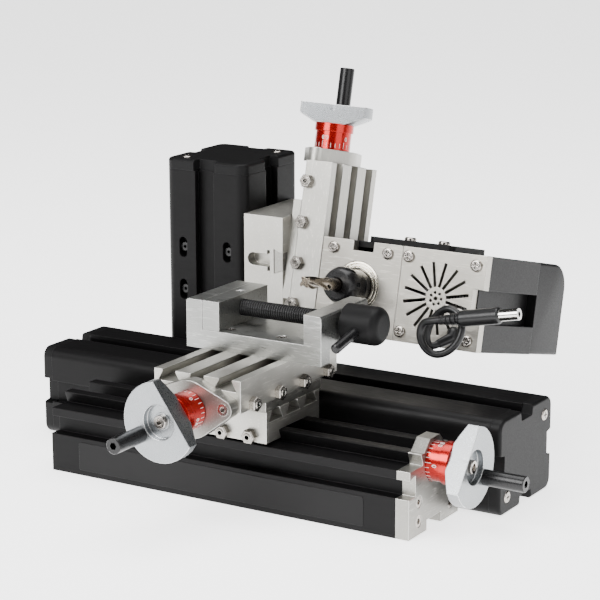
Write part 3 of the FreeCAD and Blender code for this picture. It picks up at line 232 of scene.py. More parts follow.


# Each finish's edge colour is a painted highlight along edges and corners, partly also edge wear
finishes = {
    "blackAnodised": {
        "dark": (0.0028, 0.0026, 0.0028), "light": (0.0055, 0.0052, 0.0055), "edge": (0.022, 0.021, 0.022),
        "roughLow": 0.36, "roughHigh": 0.52, "stretch": (0.08, 1, 1), "grainScale": 1400.0,
        "bump": 0.10, "metallic": 0.0, "edgeRadius": 0.0006, "edgeStrength": 1.5, "specular": 0.12,
    },
    "blackPlastic": {
        "dark": (0.0034, 0.0034, 0.0036), "light": (0.0065, 0.0063, 0.0065), "edge": (0.024, 0.024, 0.025),
        "roughLow": 0.40, "roughHigh": 0.56, "stretch": (1, 1, 1), "grainScale": 1800.0,
        "bump": 0.22, "metallic": 0.0, "edgeRadius": 0.0006, "edgeStrength": 1.5, "specular": 0.13,
    },
    "blackKey": {
        "dark": (0.0034, 0.0034, 0.0036), "light": (0.0070, 0.0068, 0.0070), "edge": (0.04, 0.04, 0.04),
        "roughLow": 0.35, "roughHigh": 0.5, "stretch": (1, 1, 1), "grainScale": 1600.0,
        "bump": 0.2, "metallic": 0.0, "edgeRadius": 0.0004, "edgeStrength": 2.0, "specular": 0.14,
    },
    "labelFilm": {
        "dark": (0.0036, 0.0034, 0.0036), "light": (0.0070, 0.0067, 0.0070), "edge": (0.05, 0.05, 0.05),
        "roughLow": 0.28, "roughHigh": 0.40, "stretch": (1, 1, 1), "grainScale": 900.0,
        "bump": 0.15, "metallic": 0.0, "edgeRadius": 0.0003, "edgeStrength": 1.5, "specular": 0.15,
    },
    "railAluminium": {
        "dark": (0.20, 0.195, 0.18), "light": (0.38, 0.37, 0.34), "edge": (0.90, 0.89, 0.85),
        "roughLow": 0.26, "roughHigh": 0.44, "stretch": (1, 0.1, 1), "grainScale": 1500.0,
        "bump": 0.25, "metallic": 0.92, "edgeRadius": 0.0004, "edgeStrength": 4.0,
        "scratch": (0.62, 0.60, 0.56),
    },
    "slideAluminium": {
        "dark": (0.34, 0.33, 0.30), "light": (0.56, 0.55, 0.51), "edge": (0.94, 0.93, 0.90),
        "roughLow": 0.30, "roughHigh": 0.48, "stretch": (1, 0.08, 1), "grainScale": 1500.0,
        "bump": 0.25, "metallic": 0.88, "edgeRadius": 0.0004, "edgeStrength": 4.0,
        "scratch": (0.72, 0.70, 0.65),
    },
    "leaningAluminium": {
        "dark": (0.36, 0.35, 0.32), "light": (0.58, 0.57, 0.53), "edge": (0.95, 0.94, 0.91),
        "roughLow": 0.30, "roughHigh": 0.48, "stretch": (1, 1, 0.08), "grainScale": 1500.0,
        "bump": 0.25, "metallic": 0.88, "edgeRadius": 0.0004, "edgeStrength": 4.0,
        "scratch": (0.74, 0.72, 0.67),
    },
    "viseAluminium": {
        "dark": (0.19, 0.193, 0.185), "light": (0.36, 0.363, 0.35), "edge": (0.90, 0.90, 0.88),
        "roughLow": 0.24, "roughHigh": 0.42, "stretch": (0.08, 1, 1), "grainScale": 1500.0,
        "bump": 0.28, "metallic": 0.92, "edgeRadius": 0.0004, "edgeStrength": 4.0,
        "scratch": (0.58, 0.58, 0.56),
    },
    "plateAluminium": {
        "dark": (0.24, 0.225, 0.20), "light": (0.52, 0.50, 0.45), "edge": (0.94, 0.92, 0.87),
        "roughLow": 0.28, "roughHigh": 0.46, "stretch": (0.1, 1, 1), "grainScale": 1300.0,
        "bump": 0.35, "metallic": 0.92, "edgeRadius": 0.0004, "edgeStrength": 4.0,
        "scratch": (0.66, 0.63, 0.57),
    },
    "wheelAluminium": {
        "dark": (0.22, 0.235, 0.25), "light": (0.36, 0.37, 0.375), "edge": (0.92, 0.92, 0.92),
        "roughLow": 0.22, "roughHigh": 0.38, "stretch": (1, 1, 1), "grainScale": 2200.0,
        "bump": 0.3, "metallic": 0.95, "edgeRadius": 0.0005, "edgeStrength": 5.0,
        "scratch": (0.46, 0.47, 0.48),
    },
    "screwSteel": {
        "dark": (0.30, 0.27, 0.24), "light": (0.56, 0.53, 0.50), "edge": (0.9, 0.88, 0.85),
        "roughLow": 0.14, "roughHigh": 0.28, "stretch": (1, 1, 1), "grainScale": 2600.0,
        "bump": 0.15, "metallic": 1.0, "edgeRadius": 0.0002, "edgeStrength": 3.0,
    },
    "nutSteel": {
        "dark": (0.20, 0.185, 0.165), "light": (0.40, 0.375, 0.345), "edge": (0.92, 0.90, 0.86),
        "roughLow": 0.18, "roughHigh": 0.34, "stretch": (1, 1, 1), "grainScale": 2600.0,
        "bump": 0.2, "metallic": 1.0, "edgeRadius": 0.0002, "edgeStrength": 3.5,
    },
    "threadSteel": {
        "dark": (0.20, 0.19, 0.18), "light": (0.36, 0.35, 0.33), "edge": (0.70, 0.68, 0.65),
        "roughLow": 0.22, "roughHigh": 0.38, "stretch": (1, 1, 1), "grainScale": 2600.0,
        "bump": 0.15, "metallic": 1.0, "edgeRadius": 0.0001, "edgeStrength": 1.0,
    },
    "blackSteel": {
        "dark": (0.005, 0.005, 0.0055), "light": (0.011, 0.0105, 0.011), "edge": (0.08, 0.08, 0.08),
        "roughLow": 0.22, "roughHigh": 0.36, "stretch": (1, 1, 1), "grainScale": 2400.0,
        "bump": 0.12, "metallic": 0.2, "edgeRadius": 0.0003, "edgeStrength": 2.0, "specular": 0.4,
    },
    "matteBlackSteel": {
        "dark": (0.0034, 0.0034, 0.0036), "light": (0.0068, 0.0066, 0.0068), "edge": (0.05, 0.05, 0.05),
        "roughLow": 0.42, "roughHigh": 0.58, "stretch": (1, 1, 1), "grainScale": 2000.0,
        "bump": 0.2, "metallic": 0.0, "edgeRadius": 0.0004, "edgeStrength": 2.0, "specular": 0.13,
    },
    "brass": {
        "dark": (0.42, 0.29, 0.11), "light": (0.62, 0.45, 0.20), "edge": (0.85, 0.70, 0.42),
        "roughLow": 0.24, "roughHigh": 0.40, "stretch": (1, 1, 1), "grainScale": 2200.0,
        "bump": 0.15, "metallic": 1.0, "edgeRadius": 0.0003, "edgeStrength": 2.0,
    },
    "redAnodised": {
        "dark": (0.34, 0.004, 0.003), "light": (0.55, 0.010, 0.006), "edge": (0.85, 0.07, 0.04),
        "roughLow": 0.16, "roughHigh": 0.28, "stretch": (1, 1, 1), "grainScale": 2400.0,
        "bump": 0.12, "metallic": 0.75, "edgeRadius": 0.0003, "edgeStrength": 2.0, "coat": 0.35,
    },
    "whiteInk": {
        "dark": (0.62, 0.60, 0.58), "light": (0.78, 0.77, 0.75), "edge": (0.85, 0.84, 0.82),
        "roughLow": 0.45, "roughHigh": 0.6, "stretch": (1, 1, 1), "grainScale": 2600.0,
        "bump": 0.1, "metallic": 0.0, "edgeRadius": 0.0001, "edgeStrength": 1.0,
    },
    "bearingSteel": {
        "dark": (0.52, 0.48, 0.39), "light": (0.76, 0.71, 0.60), "edge": (0.95, 0.92, 0.85),
        "roughLow": 0.12, "roughHigh": 0.24, "stretch": (1, 1, 1), "grainScale": 2600.0,
        "bump": 0.08, "metallic": 0.95, "edgeRadius": 0.0003, "edgeStrength": 2.0,
    },
    "cutterSteel": {
        "dark": (0.20, 0.165, 0.13), "light": (0.40, 0.35, 0.28), "edge": (0.82, 0.76, 0.66),
        "roughLow": 0.16, "roughHigh": 0.30, "stretch": (1, 1, 1), "grainScale": 2400.0,
        "bump": 0.15, "metallic": 1.0, "edgeRadius": 0.0002, "edgeStrength": 3.0,
    },
    "motorSteel": {
        "dark": (0.30, 0.30, 0.30), "light": (0.46, 0.46, 0.46), "edge": (0.7, 0.7, 0.7),
        "roughLow": 0.3, "roughHigh": 0.45, "stretch": (1, 0.1, 1), "grainScale": 1600.0,
        "bump": 0.15, "metallic": 1.0, "edgeRadius": 0.0003, "edgeStrength": 2.0,
    },
    "leadRubber": {
        "dark": (0.006, 0.006, 0.0065), "light": (0.011, 0.011, 0.0115), "edge": (0.03, 0.03, 0.03),
        "roughLow": 0.26, "roughHigh": 0.42, "stretch": (1, 1, 1), "grainScale": 2000.0,
        "bump": 0.15, "metallic": 0.0, "edgeRadius": 0.0003, "edgeStrength": 2.0, "specular": 0.35,
    },
    "brightPlating": {
        "dark": (0.62, 0.61, 0.58), "light": (0.80, 0.79, 0.76), "edge": (0.97, 0.96, 0.94),
        "roughLow": 0.08, "roughHigh": 0.16, "stretch": (1, 1, 1), "grainScale": 2600.0,
        "bump": 0.05, "metallic": 1.0, "edgeRadius": 0.0002, "edgeStrength": 2.0,
    },
}
materials = {name: makeFinish(name, look) for name, look in finishes.items()}

nodeFinish = {
    "blackAnodised": ["bed_body", "column_body", "slide_rail", "head_housing"],
    "blackPlastic": ["bed_caps", "column_caps", "head_end_cap", "head_cover"],
    "blackKey": ["joining_keys", "head_keys"],
    "railAluminium": ["rail_end_plate", "cross_base", "cross_end_plate", "riser_key"],
    "slideAluminium": ["saddle", "table", "riser_block"],
    "leaningAluminium": ["z_carriage", "z_base", "z_end_plate"],
    "viseAluminium": ["vise_body", "vise_jaw"],
    "plateAluminium": ["spindle_plate", "vent_plate"],
    "screwSteel": ["bed_cap_screws", "column_cap_screws", "head_plate_screws", "rail_plate_screws",
                   "cross_plate_screws", "z_plate_screws", "vise_bolts"],
    "nutSteel": ["saddle_gib_screws", "table_gib_screws", "z_gib_screws"],
    "threadSteel": ["bed_leadscrew", "cross_leadscrew", "z_leadscrew"],
    "blackSteel": ["vise_screw", "vise_lever", "bed_handle", "cross_handle", "z_handle", "spindle",
                   "collet_nut", "column_slot_screws"],
    "matteBlackSteel": ["vise_knob"],
    "brass": ["saddle_nut"],
    "redAnodised": ["bed_dial", "cross_dial", "z_dial"],
    "wheelAluminium": ["bed_handwheel", "cross_handwheel", "z_handwheel"],
    "bearingSteel": ["spindle_bearings"],
    "cutterSteel": ["end_mill"],
    "motorSteel": ["motor"],
    "leadRubber": ["cord_gland", "cord_tube", "plug_body"],
    "brightPlating": ["plug_barrel"],
}
for finish, nodes in nodeFinish.items():
    for node in nodes:
        data = frame["nodes"][node].data
        data.materials.clear()
        data.materials.append(materials[finish])
print("stage: finishes")


# Power lead

leadSettings = {
    "diameter": 3.6 * mm,
    "points": [
        (67.2, -30.6, -35.6), (64.5, -33.2, -37.8), (62.4, -34.6, -34.0), (63.6, -35.4, -27.2),
        (67.8, -36.2, -20.8), (73.6, -36.8, -17.6), (79.6, -37.2, -20.0), (82.6, -38.0, -26.4),
        (81.6, -39.2, -33.2), (77.2, -40.4, -38.6), (71.0, -41.6, -40.6), (65.4, -42.8, -37.2),
        (63.2, -43.8, -31.0), (65.0, -44.6, -25.8), (69.2, -45.0, -24.8), (73.7, -45.0, -23.9),
    ],
    "length": 0.0889,
}


def makeLead(settings):
    curve = bpy.data.curves.new("powerLead", "CURVE")
    curve.dimensions = "3D"
    curve.bevel_depth = settings["diameter"] / 2
    curve.bevel_resolution = 6
    curve.resolution_u = 16
    spline = curve.splines.new("NURBS")
    spline.points.add(len(settings["points"]) - 1)
    for point, place in zip(spline.points, settings["points"]):
        point.co = (*(leanFrame @ (Vector(place) * mm)), 1.0)
    spline.order_u = 3
    spline.use_endpoint_u = True
    lead = bpy.data.objects.new("powerLead", curve)
    bpy.context.scene.collection.objects.link(lead)
    lead.data.materials.append(materials["leadRubber"])
    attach(lead, "head_unit")
    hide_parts("cord_tube")


makeLead(leadSettings)
print("stage: power lead")


# Shared modelling steps

smoothBelow = math.radians(32)
weldGap = 1e-7
headLook = {"chamfer": 0.3, "sides": 32}


def addPiece(name, bm, place, finish, body, replaced=()):
    bmesh.ops.transform(bm, matrix=place, verts=bm.verts)
    bmesh.ops.recalc_face_normals(bm, faces=bm.faces)
    for face in bm.faces:
        face.smooth = True
    for edge in bm.edges:
        edge.smooth = edge.calc_face_angle(0) < smoothBelow
    data = bpy.data.meshes.new(name)
    bm.to_mesh(data)
    bm.free()
    data.materials.append(materials[finish])
    piece = bpy.data.objects.new(name, data)
    bpy.context.scene.collection.objects.link(piece)
    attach(piece, body)
    if replaced:
        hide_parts(*replaced)
    return piece


def axisPlace(origin, axis, side):
    # Local z runs along the axis and local x towards the side
    alongZ = Vector(axis).normalized()
    alongX = Vector(side).normalized()
    alongY = alongZ.cross(alongX)
    turn = Matrix((alongX, alongY, alongZ)).transposed().to_4x4()
    return Matrix.Translation(Vector(origin) * mm) @ turn


def edgesOf(verts):
    chosen = set(verts)
    return list({edge for vert in verts for edge in vert.link_edges
                 if edge.verts[0] in chosen and edge.verts[1] in chosen})


def pullEdges(bm, edges, move=(0, 0, 0), grow=1.0, turn=0.0):
    # Extrude a loop, then shift, scale and turn the new loop about local z
    made = bmesh.ops.extrude_edge_only(bm, edges=edges)["geom"]
    verts = [item for item in made if isinstance(item, bmesh.types.BMVert)]
    bmesh.ops.scale(bm, vec=(grow, grow, 1), verts=verts)
    bmesh.ops.rotate(bm, cent=(0, 0, 0), matrix=Matrix.Rotation(turn, 3, "Z"), verts=verts)
    bmesh.ops.translate(bm, vec=move, verts=verts)
    return edgesOf(verts)


def spinProfile(bm, profile, sides=48):
    # Turn a chain of (radius, height) points, in mm, round local z
    verts = [bm.verts.new((radius * mm, 0, height * mm)) for radius, height in profile]
    edges = [bm.edges.new(pair) for pair in zip(verts, verts[1:])]
    bmesh.ops.spin(bm, geom=verts + edges, cent=(0, 0, 0), axis=(0, 0, 1), angle=2 * math.pi,
                   steps=sides, use_merge=True)
    bmesh.ops.remove_doubles(bm, verts=bm.verts, dist=weldGap)


def addSocketHead(bm, radius, height, base, flats, depth):
    # Cylinder head with a chamfer and a hexagon socket, all in mm
    chamfer = headLook["chamfer"] * mm
    rim = bmesh.ops.create_circle(bm, segments=headLook["sides"], radius=radius * mm,
                                  matrix=Matrix.Translation((0, 0, base * mm)))["verts"]
    bottom = edgesOf(rim)
    wall = pullEdges(bm, bottom, (0, 0, height * mm - chamfer))
    top = pullEdges(bm, wall, (0, 0, chamfer), 1 - chamfer / (radius * mm))
    mouthPlace = Matrix.Translation((0, 0, (base + height) * mm))
    socket = bmesh.ops.create_circle(bm, segments=6, radius=flats * mm / math.sqrt(3),
                                     matrix=mouthPlace)["verts"]
    mouth = edgesOf(socket)
    bmesh.ops.bridge_loops(bm, edges=top + mouth)
    floor = pullEdges(bm, mouth, (0, 0, -depth * mm))
    bmesh.ops.contextual_create(bm, geom=floor)
    bmesh.ops.contextual_create(bm, geom=bottom)


# Crest of a thread as shares of its pitch, and the pitches trimmed off below its start
threadForm = {"crestFrom": 0.42, "crestTo": 0.58, "trim": 1.5, "weldGap": 1e-6}


def makeThread(name, settings, place, finish, body, replaced):
    # One pitch of thread profile spun up the axis, then trimmed square at both ends
    bm = bmesh.new()
    pitch = settings["pitch"] * mm
    crest = settings["radius"] * mm
    root = crest - settings["depth"] * mm
    outline = [(root, 0.0), (crest, threadForm["crestFrom"]), (crest, threadForm["crestTo"]), (root, 1.0)]
    trim = threadForm["trim"] * pitch
    verts = [bm.verts.new((radius, 0, share * pitch)) for radius, share in outline]
    edges = [bm.edges.new(pair) for pair in zip(verts, verts[1:])]
    turns = math.ceil(settings["length"] / settings["pitch"]) + 2
    steps = turns * settings["sides"]
    bmesh.ops.spin(bm, geom=verts + edges, cent=(0, 0, 0), axis=(0, 0, 1), angle=2 * math.pi * turns,
                   steps=steps, dvec=(0, 0, pitch / settings["sides"]))
    bmesh.ops.remove_doubles(bm, verts=bm.verts, dist=threadForm["weldGap"])
    for height, side in ((trim, -1), (trim + settings["length"] * mm, 1)):
        cutGeom = bm.verts[:] + bm.edges[:] + bm.faces[:]
        bmesh.ops.bisect_plane(bm, geom=cutGeom, plane_co=(0, 0, height), plane_no=(0, 0, side),
                               clear_outer=True)
    bmesh.ops.translate(bm, vec=(0, 0, -trim), verts=bm.verts)
    bmesh.ops.holes_fill(bm, edges=[edge for edge in bm.edges if edge.is_boundary], sides=0)
    return addPiece(name, bm, place, finish, body, replaced)


# Handwheels: marks on the dials, a socket screw and washer in each hub, and the grips

wheelSettings = {
    "bed": {"origin": (99.5, -23.4, 30.6), "axis": (1, 0, 0), "chord": (0, -0.8, 0.6), "dial": 12.0,
            "body": "bed_wheel", "leaning": False, "start": 0.47},
    "cross": {"origin": (4.4, -74.2, 52.0), "axis": (0, -1, 0),
              "chord": (math.cos(math.radians(35)), 0, math.sin(math.radians(35))), "dial": 13.7,
              "body": "cross_wheel", "leaning": False, "start": 0.2},
    "z": {"origin": (-21.0, 0.0, 51.7), "axis": (0, 0, 1),
          "chord": (math.sin(math.radians(16)), -math.cos(math.radians(16)), 0), "dial": 13.1,
          "body": "z_wheel", "leaning": True, "start": 0.9},
}
dialSettings = {
    "radius": 9.0, "divisions": 25, "tickStart": 0.9, "tickLength": 2.3, "longTick": 3.2,
    "tickWidth": 0.22, "inkHeight": 0.08, "numbers": ["0", "0.2", "0.4", "0.6", "0.8"],
    "textSize": 3.0, "textPlace": 5.9,
}
hubSettings = {"wheelThickness": 9.5, "counterbore": 3.0, "headRadius": 3.1, "headHeight": 1.9,
               "flats": 3.0, "socketDepth": 1.4, "washerRadius": 3.9, "washerHeight": 0.5,
               "washerHole": 0.6, "washerChamfer": 0.15}


def addDialNumber(bm, label, angle, settings):
    # Raised figure laid round the drum, reading up the front of the dial
    curve = bpy.data.curves.new("dialNumber", "FONT")
    curve.body = label
    curve.size = settings["textSize"] * mm
    curve.extrude = settings["inkHeight"] * mm / 2
    curve.align_x = "CENTER"
    curve.align_y = "CENTER"
    holder = bpy.data.objects.new("dialNumber", curve)
    data = bpy.data.meshes.new_from_object(holder)
    before = set(bm.verts)
    bm.from_mesh(data)
    radius = settings["radius"] * mm
    for vert in bm.verts:
        if vert not in before:
            turn = angle - vert.co.x / radius
            out = radius + vert.co.z + settings["inkHeight"] * mm / 3
            height = settings["textPlace"] * mm - vert.co.y
            vert.co = (out * math.cos(turn), out * math.sin(turn), height)
    bpy.data.objects.remove(holder)
    bpy.data.curves.remove(curve)
    bpy.data.meshes.remove(data)


def makeDialMarks(name, wheel, place, settings):
    bm = bmesh.new()
    step = 2 * math.pi / settings["divisions"]
    perNumber = settings["divisions"] // len(settings["numbers"])
    for division in range(settings["divisions"]):
        numbered = division % perNumber == 0
        length = settings["longTick"] if numbered else settings["tickLength"]
        turn = Matrix.Rotation(wheel["start"] + division * step, 4, "Z")
        middle = Matrix.Translation((settings["radius"] * mm, 0,
                                     (settings["tickStart"] + length / 2) * mm))
        size = Matrix.Diagonal((settings["inkHeight"] * mm, settings["tickWidth"] * mm, length * mm, 1))
        bmesh.ops.create_cube(bm, size=1, matrix=turn @ middle @ size)
    for index, label in enumerate(settings["numbers"]):
        addDialNumber(bm, label, wheel["start"] + index * perNumber * step + step / 2, settings)
    addPiece(name + "DialMarks", bm, place, "whiteInk", wheel["body"])


def makeHubScrew(name, wheel, place, settings):
    floor = wheel["dial"] + settings["wheelThickness"] - settings["counterbore"]
    hole, rim, top = settings["washerHole"], settings["washerRadius"], settings["washerHeight"]
    chamfer = settings["washerChamfer"]
    washer = bmesh.new()
    spinProfile(washer, [(hole, 0), (rim, 0), (rim, top - chamfer), (rim - chamfer, top),
                         (hole, top), (hole, 0)])
    bmesh.ops.translate(washer, vec=(0, 0, floor * mm), verts=washer.verts)
    addPiece(name + "HubWasher", washer, place, "wheelAluminium", wheel["body"])
    screw = bmesh.new()
    addSocketHead(screw, settings["headRadius"], settings["headHeight"], floor + top,
                  settings["flats"], settings["socketDepth"])
    addPiece(name + "HubScrew", screw, place, "screwSteel", wheel["body"])


gripSettings = {"radius": 3.7, "length": 20.0, "reach": -12.0, "flats": 3.0, "socketDepth": 2.0}


def makeGrip(name, wheel, place, settings):
    bm = bmesh.new()
    addSocketHead(bm, settings["radius"], settings["length"], wheel["dial"] + hubSettings["wheelThickness"],
                  settings["flats"], settings["socketDepth"])
    bmesh.ops.translate(bm, vec=(settings["reach"] * mm, 0, 0), verts=bm.verts)
    addPiece(name + "Grip", bm, place, "blackSteel", wheel["body"], [name + "_handle"])


for name, wheel in wheelSettings.items():
    place = axisPlace(wheel["origin"], wheel["axis"], wheel["chord"])
    if wheel["leaning"]:
        place = leanFrame @ place
    makeDialMarks(name, wheel, place, dialSettings)
    makeHubScrew(name, wheel, place, hubSettings)
    makeGrip(name, wheel, place, gripSettings)
print("stage: handwheel details")


# Locknuts on the gib screws of the three slides

lockNut = {"flats": 6.1, "height": 3.0, "chamfer": 0.45, "screwRadius": 1.95, "screwHeight": 0.35,
           "socket": 2.1, "socketDepth": 1.2}
nutRows = {
    "saddle": {"first": (19.0, -46.4, 34.9), "step": (-14.6, 0, 0), "count": 3, "axis": (0, -1, 0),
               "side": zAxis, "body": "saddle_unit", "leaning": False},
    "table": {"first": (27.4, 7.0, 54.1), "step": (0, -21.5, 0), "count": 4, "axis": (1, 0, 0),
              "side": yAxis, "body": "table_unit", "leaning": False},
    "z": {"first": (-18.9, -23.0, -26.6), "step": (0, 0, 20.3), "count": 4, "axis": (0, -1, 0),
          "side": zAxis, "body": "head_unit", "leaning": True},
}


def addLockNut(bm, place, settings):
    before = set(bm.verts)
    corner = settings["flats"] * mm / math.sqrt(3)
    chamfer = settings["chamfer"] * mm
    loop = edgesOf(bmesh.ops.create_circle(bm, segments=6, radius=corner)["verts"])
    bmesh.ops.contextual_create(bm, geom=loop)
    loop = pullEdges(bm, loop, (0, 0, settings["height"] * mm - chamfer))
    loop = pullEdges(bm, loop, (0, 0, chamfer), 1 - chamfer / corner)
    bmesh.ops.contextual_create(bm, geom=loop)
    addSocketHead(bm, settings["screwRadius"], settings["screwHeight"], settings["height"],
                  settings["socket"], settings["socketDepth"])
    bmesh.ops.transform(bm, matrix=place, verts=[vert for vert in bm.verts if vert not in before])


for name, row in nutRows.items():
    bm = bmesh.new()
    for index in range(row["count"]):
        at = Vector(row["first"]) + Vector(row["step"]) * index
        addLockNut(bm, axisPlace(at, row["axis"], row["side"]), lockNut)
    addPiece(name + "LockNuts", bm, leanFrame if row["leaning"] else Matrix.Identity(4), "nutSteel",
             row["body"], [name + "_gib_screws"])
print("stage: locknuts")


# End cap of the head: a box whose upper back edge is well rounded

capSettings = {"low": (-6.4, 38.0, -37.5), "high": (83.5, 72.0, 8.3), "brow": 13.0, "browSteps": 16,
               "edge": 1.5, "edgeSteps": 3, "sharp": 60}


def makeHeadCap(settings):
    bm = bmesh.new()
    low, high = Vector(settings["low"]) * mm, Vector(settings["high"]) * mm
    middle = Matrix.Translation((low + high) / 2)
    bmesh.ops.create_cube(bm, size=1, matrix=middle @ Matrix.Diagonal((*(high - low), 1)))
    near = 1e-5
    brow = [edge for edge in bm.edges
            if all(abs(vert.co.y - high.y) < near and abs(vert.co.z - high.z) < near
                   for vert in edge.verts)]
    bmesh.ops.bevel(bm, geom=brow, offset=settings["brow"] * mm, offset_type="OFFSET",
                    segments=settings["browSteps"],
                    profile=0.5, affect="EDGES", material=-1)
    sharp = math.radians(settings["sharp"])
    rim = []
    for edge in bm.edges:
        first, second = (vert.co for vert in edge.verts)
        onSide = abs(first.x - second.x) < near and min(abs(first.x - low.x), abs(first.x - high.x)) < near
        behindFront = max(first.y, second.y) > low.y + near
        if onSide and behindFront and edge.calc_face_angle(0) > sharp:
            rim.append(edge)
    bmesh.ops.bevel(bm, geom=rim, offset=settings["edge"] * mm, offset_type="OFFSET",
                    segments=settings["edgeSteps"], profile=0.5, affect="EDGES", material=-1)
    addPiece("headEndCap", bm, leanFrame, "blackPlastic", "head_unit", ["head_end_cap"])


makeHeadCap(capSettings)
print("stage: head cap")


# Threads

viseThread = {"radius": 3.98, "pitch": 1.25, "depth": 0.62, "length": 69.2, "sides": 28,
              "origin": (-14.2, -7.3, 83.0)}
bedThread = {"radius": 2.98, "pitch": 1.0, "depth": 0.5, "length": 207.4, "sides": 18,
             "origin": (-89.2, -23.4, 30.6)}
makeThread("viseScrewThread", viseThread, axisPlace(viseThread["origin"], xAxis, zAxis), "blackSteel",
           "vise_spindle", ["vise_screw"])
makeThread("bedScrewThread", bedThread, axisPlace(bedThread["origin"], xAxis, zAxis), "threadSteel",
           "bed_wheel", ["bed_leadscrew"])
print("stage: threads")


# Cutter, collet nut and bearing face; distances run forward from the face plates

spindleSettings = {
    "origin": (15.2, -22.5, -14.0),
    "millRadius": 2.98, "millStart": 8.6, "fluteStart": 28.5, "millEnd": 50.0, "core": 0.60,
    "flutes": 4, "twist": 125, "rings": 60, "sides": 64, "land": 0.22, "gulletSkew": 0.62, "runIn": 8,
    "nutRadius": 9.0, "nutStart": 12.1, "nutShoulder": 16.0, "nutEnd": 20.0, "nutNose": 7.5,
    "noseHole": 3.6,
    "nutSlots": 8, "slotDepth": 1.0, "slotShare": 1 / 3, "slotInset": 0.05,
    "boreGap": 0.25, "nutChamfer": 0.4, "noseChamfer": 0.3,
}
spindlePlace = leanFrame @ axisPlace(spindleSettings["origin"], (0, -1, 0), (1, 0, 0))


def makeEndMill(settings, place):
    bm = bmesh.new()
    radius = settings["millRadius"] * mm
    start = Matrix.Translation((0, 0, settings["millStart"] * mm))
    ring = bmesh.ops.create_circle(bm, segments=settings["sides"], radius=radius,
                                   matrix=start)["verts"]
    loop = edgesOf(ring)
    bmesh.ops.contextual_create(bm, geom=loop)
    loop = pullEdges(bm, loop, (0, 0, (settings["fluteStart"] - settings["millStart"]) * mm))
    travel = (settings["millEnd"] - settings["fluteStart"]) * mm / settings["rings"]
    turn = math.radians(settings["twist"]) / settings["rings"]
    land = settings["land"]
    for ringNumber in range(settings["rings"]):
        loop = pullEdges(bm, loop, (0, 0, travel))
        phase = turn * ringNumber
        fade = min(1.0, ringNumber / settings["runIn"])
        for vert in {vert for edge in loop for vert in edge.verts}:
            angle = math.atan2(vert.co.y, vert.co.x)
            share = ((angle - phase) / (2 * math.pi) * settings["flutes"]) % 1.0
            # A narrow land, then a gullet that falls fast and rises slowly to the next land
            if share < land:
                reach = 1.0
            else:
                dip = math.sin(math.pi * ((share - land) / (1 - land)) ** settings["gulletSkew"])
                reach = 1.0 - (1.0 - settings["core"]) * dip * fade
            vert.co.x = radius * reach * math.cos(angle)
            vert.co.y = radius * reach * math.sin(angle)
    bmesh.ops.contextual_create(bm, geom=loop)
    addPiece("endMillFluted", bm, place, "cutterSteel", "cutter_unit", ["end_mill"])


def makeColletNut(settings, place):
    bm = bmesh.new()
    radius = settings["nutRadius"]
    hole = settings["millRadius"] + settings["boreGap"]
    chamfer, nose = settings["nutChamfer"], settings["nutNose"]
    spinProfile(bm, [(hole, settings["nutStart"]), (radius - chamfer, settings["nutStart"]),
                     (radius, settings["nutStart"] + chamfer), (radius, settings["nutShoulder"]),
                     (nose, settings["nutEnd"] - settings["noseChamfer"]),
                     (nose - chamfer, settings["nutEnd"]), (settings["noseHole"], settings["nutEnd"]),
                     (hole, settings["nutEnd"] - chamfer), (hole, settings["nutStart"])],
                sides=settings["nutSlots"] * 6)
    step = 2 * math.pi / settings["nutSlots"]
    middle = (settings["nutStart"] + chamfer + settings["nutShoulder"]) / 2 * mm
    near = 0.5 * mm
    chosen = []
    for face in bm.faces:
        at = face.calc_center_median()
        around = math.atan2(at.y, at.x) % step
        onRim = abs(at.z - middle) < near and at.xy.length > radius * mm - near
        if onRim and around < step * settings["slotShare"]:
            chosen.append(face)
    bmesh.ops.inset_region(bm, faces=chosen, thickness=settings["slotInset"] * mm,
                           use_even_offset=True)
    verts = {vert for face in chosen for vert in face.verts}
    shrink = 1 - settings["slotDepth"] / radius
    bmesh.ops.scale(bm, vec=(shrink, shrink, 1), verts=list(verts))
    addPiece("colletNutSlotted", bm, place, "blackSteel", "cutter_unit", ["collet_nut"])


bearingRing = {
    "outer": [(12.1, -0.25), (12.2, -0.1), (12.1, 0.05), (11.3, 0.12)],
    "outerGroove": [(11.1, -0.1), (10.9, 0.16)],
    "innerGroove": [(9.7, 0.22), (9.5, -0.1), (9.3, 0.2)],
    "bore": [(8.4, 0.16), (8.3, 0.0), (8.3, -0.25)],
    "sink": 0.05, "sides": 72,
}


def makeBearingFace(settings, place):
    # Pressed cover of the front bearing: a bright ring with fine grooves
    bm = bmesh.new()
    profile = settings["outer"] + settings["outerGroove"] + settings["innerGroove"] + settings["bore"]
    spinProfile(bm, profile[-1:] + profile, settings["sides"])
    bmesh.ops.translate(bm, vec=(0, 0, -settings["sink"] * mm), verts=bm.verts)
    addPiece("bearingCover", bm, place, "bearingSteel", "head_unit")


makeEndMill(spindleSettings, spindlePlace)
makeColletNut(spindleSettings, spindlePlace)
makeBearingFace(bearingRing, spindlePlace)
print("stage: spindle details")


# Dark mesh behind the vent, and the plain label film on the rail

ventSettings = {"centre": (58.7, -17.2, -14.7), "radius": 18.6, "cell": 1.5, "wire": 0.28,
                "thickness": 0.3, "holeShare": 0.6}
labelSettings = {"left": -78.0, "right": 78.0, "bottom": 2.6, "top": 16.4, "front": -46.8,
                 "thickness": 0.18, "corner": 1.2, "cornerSteps": 6}


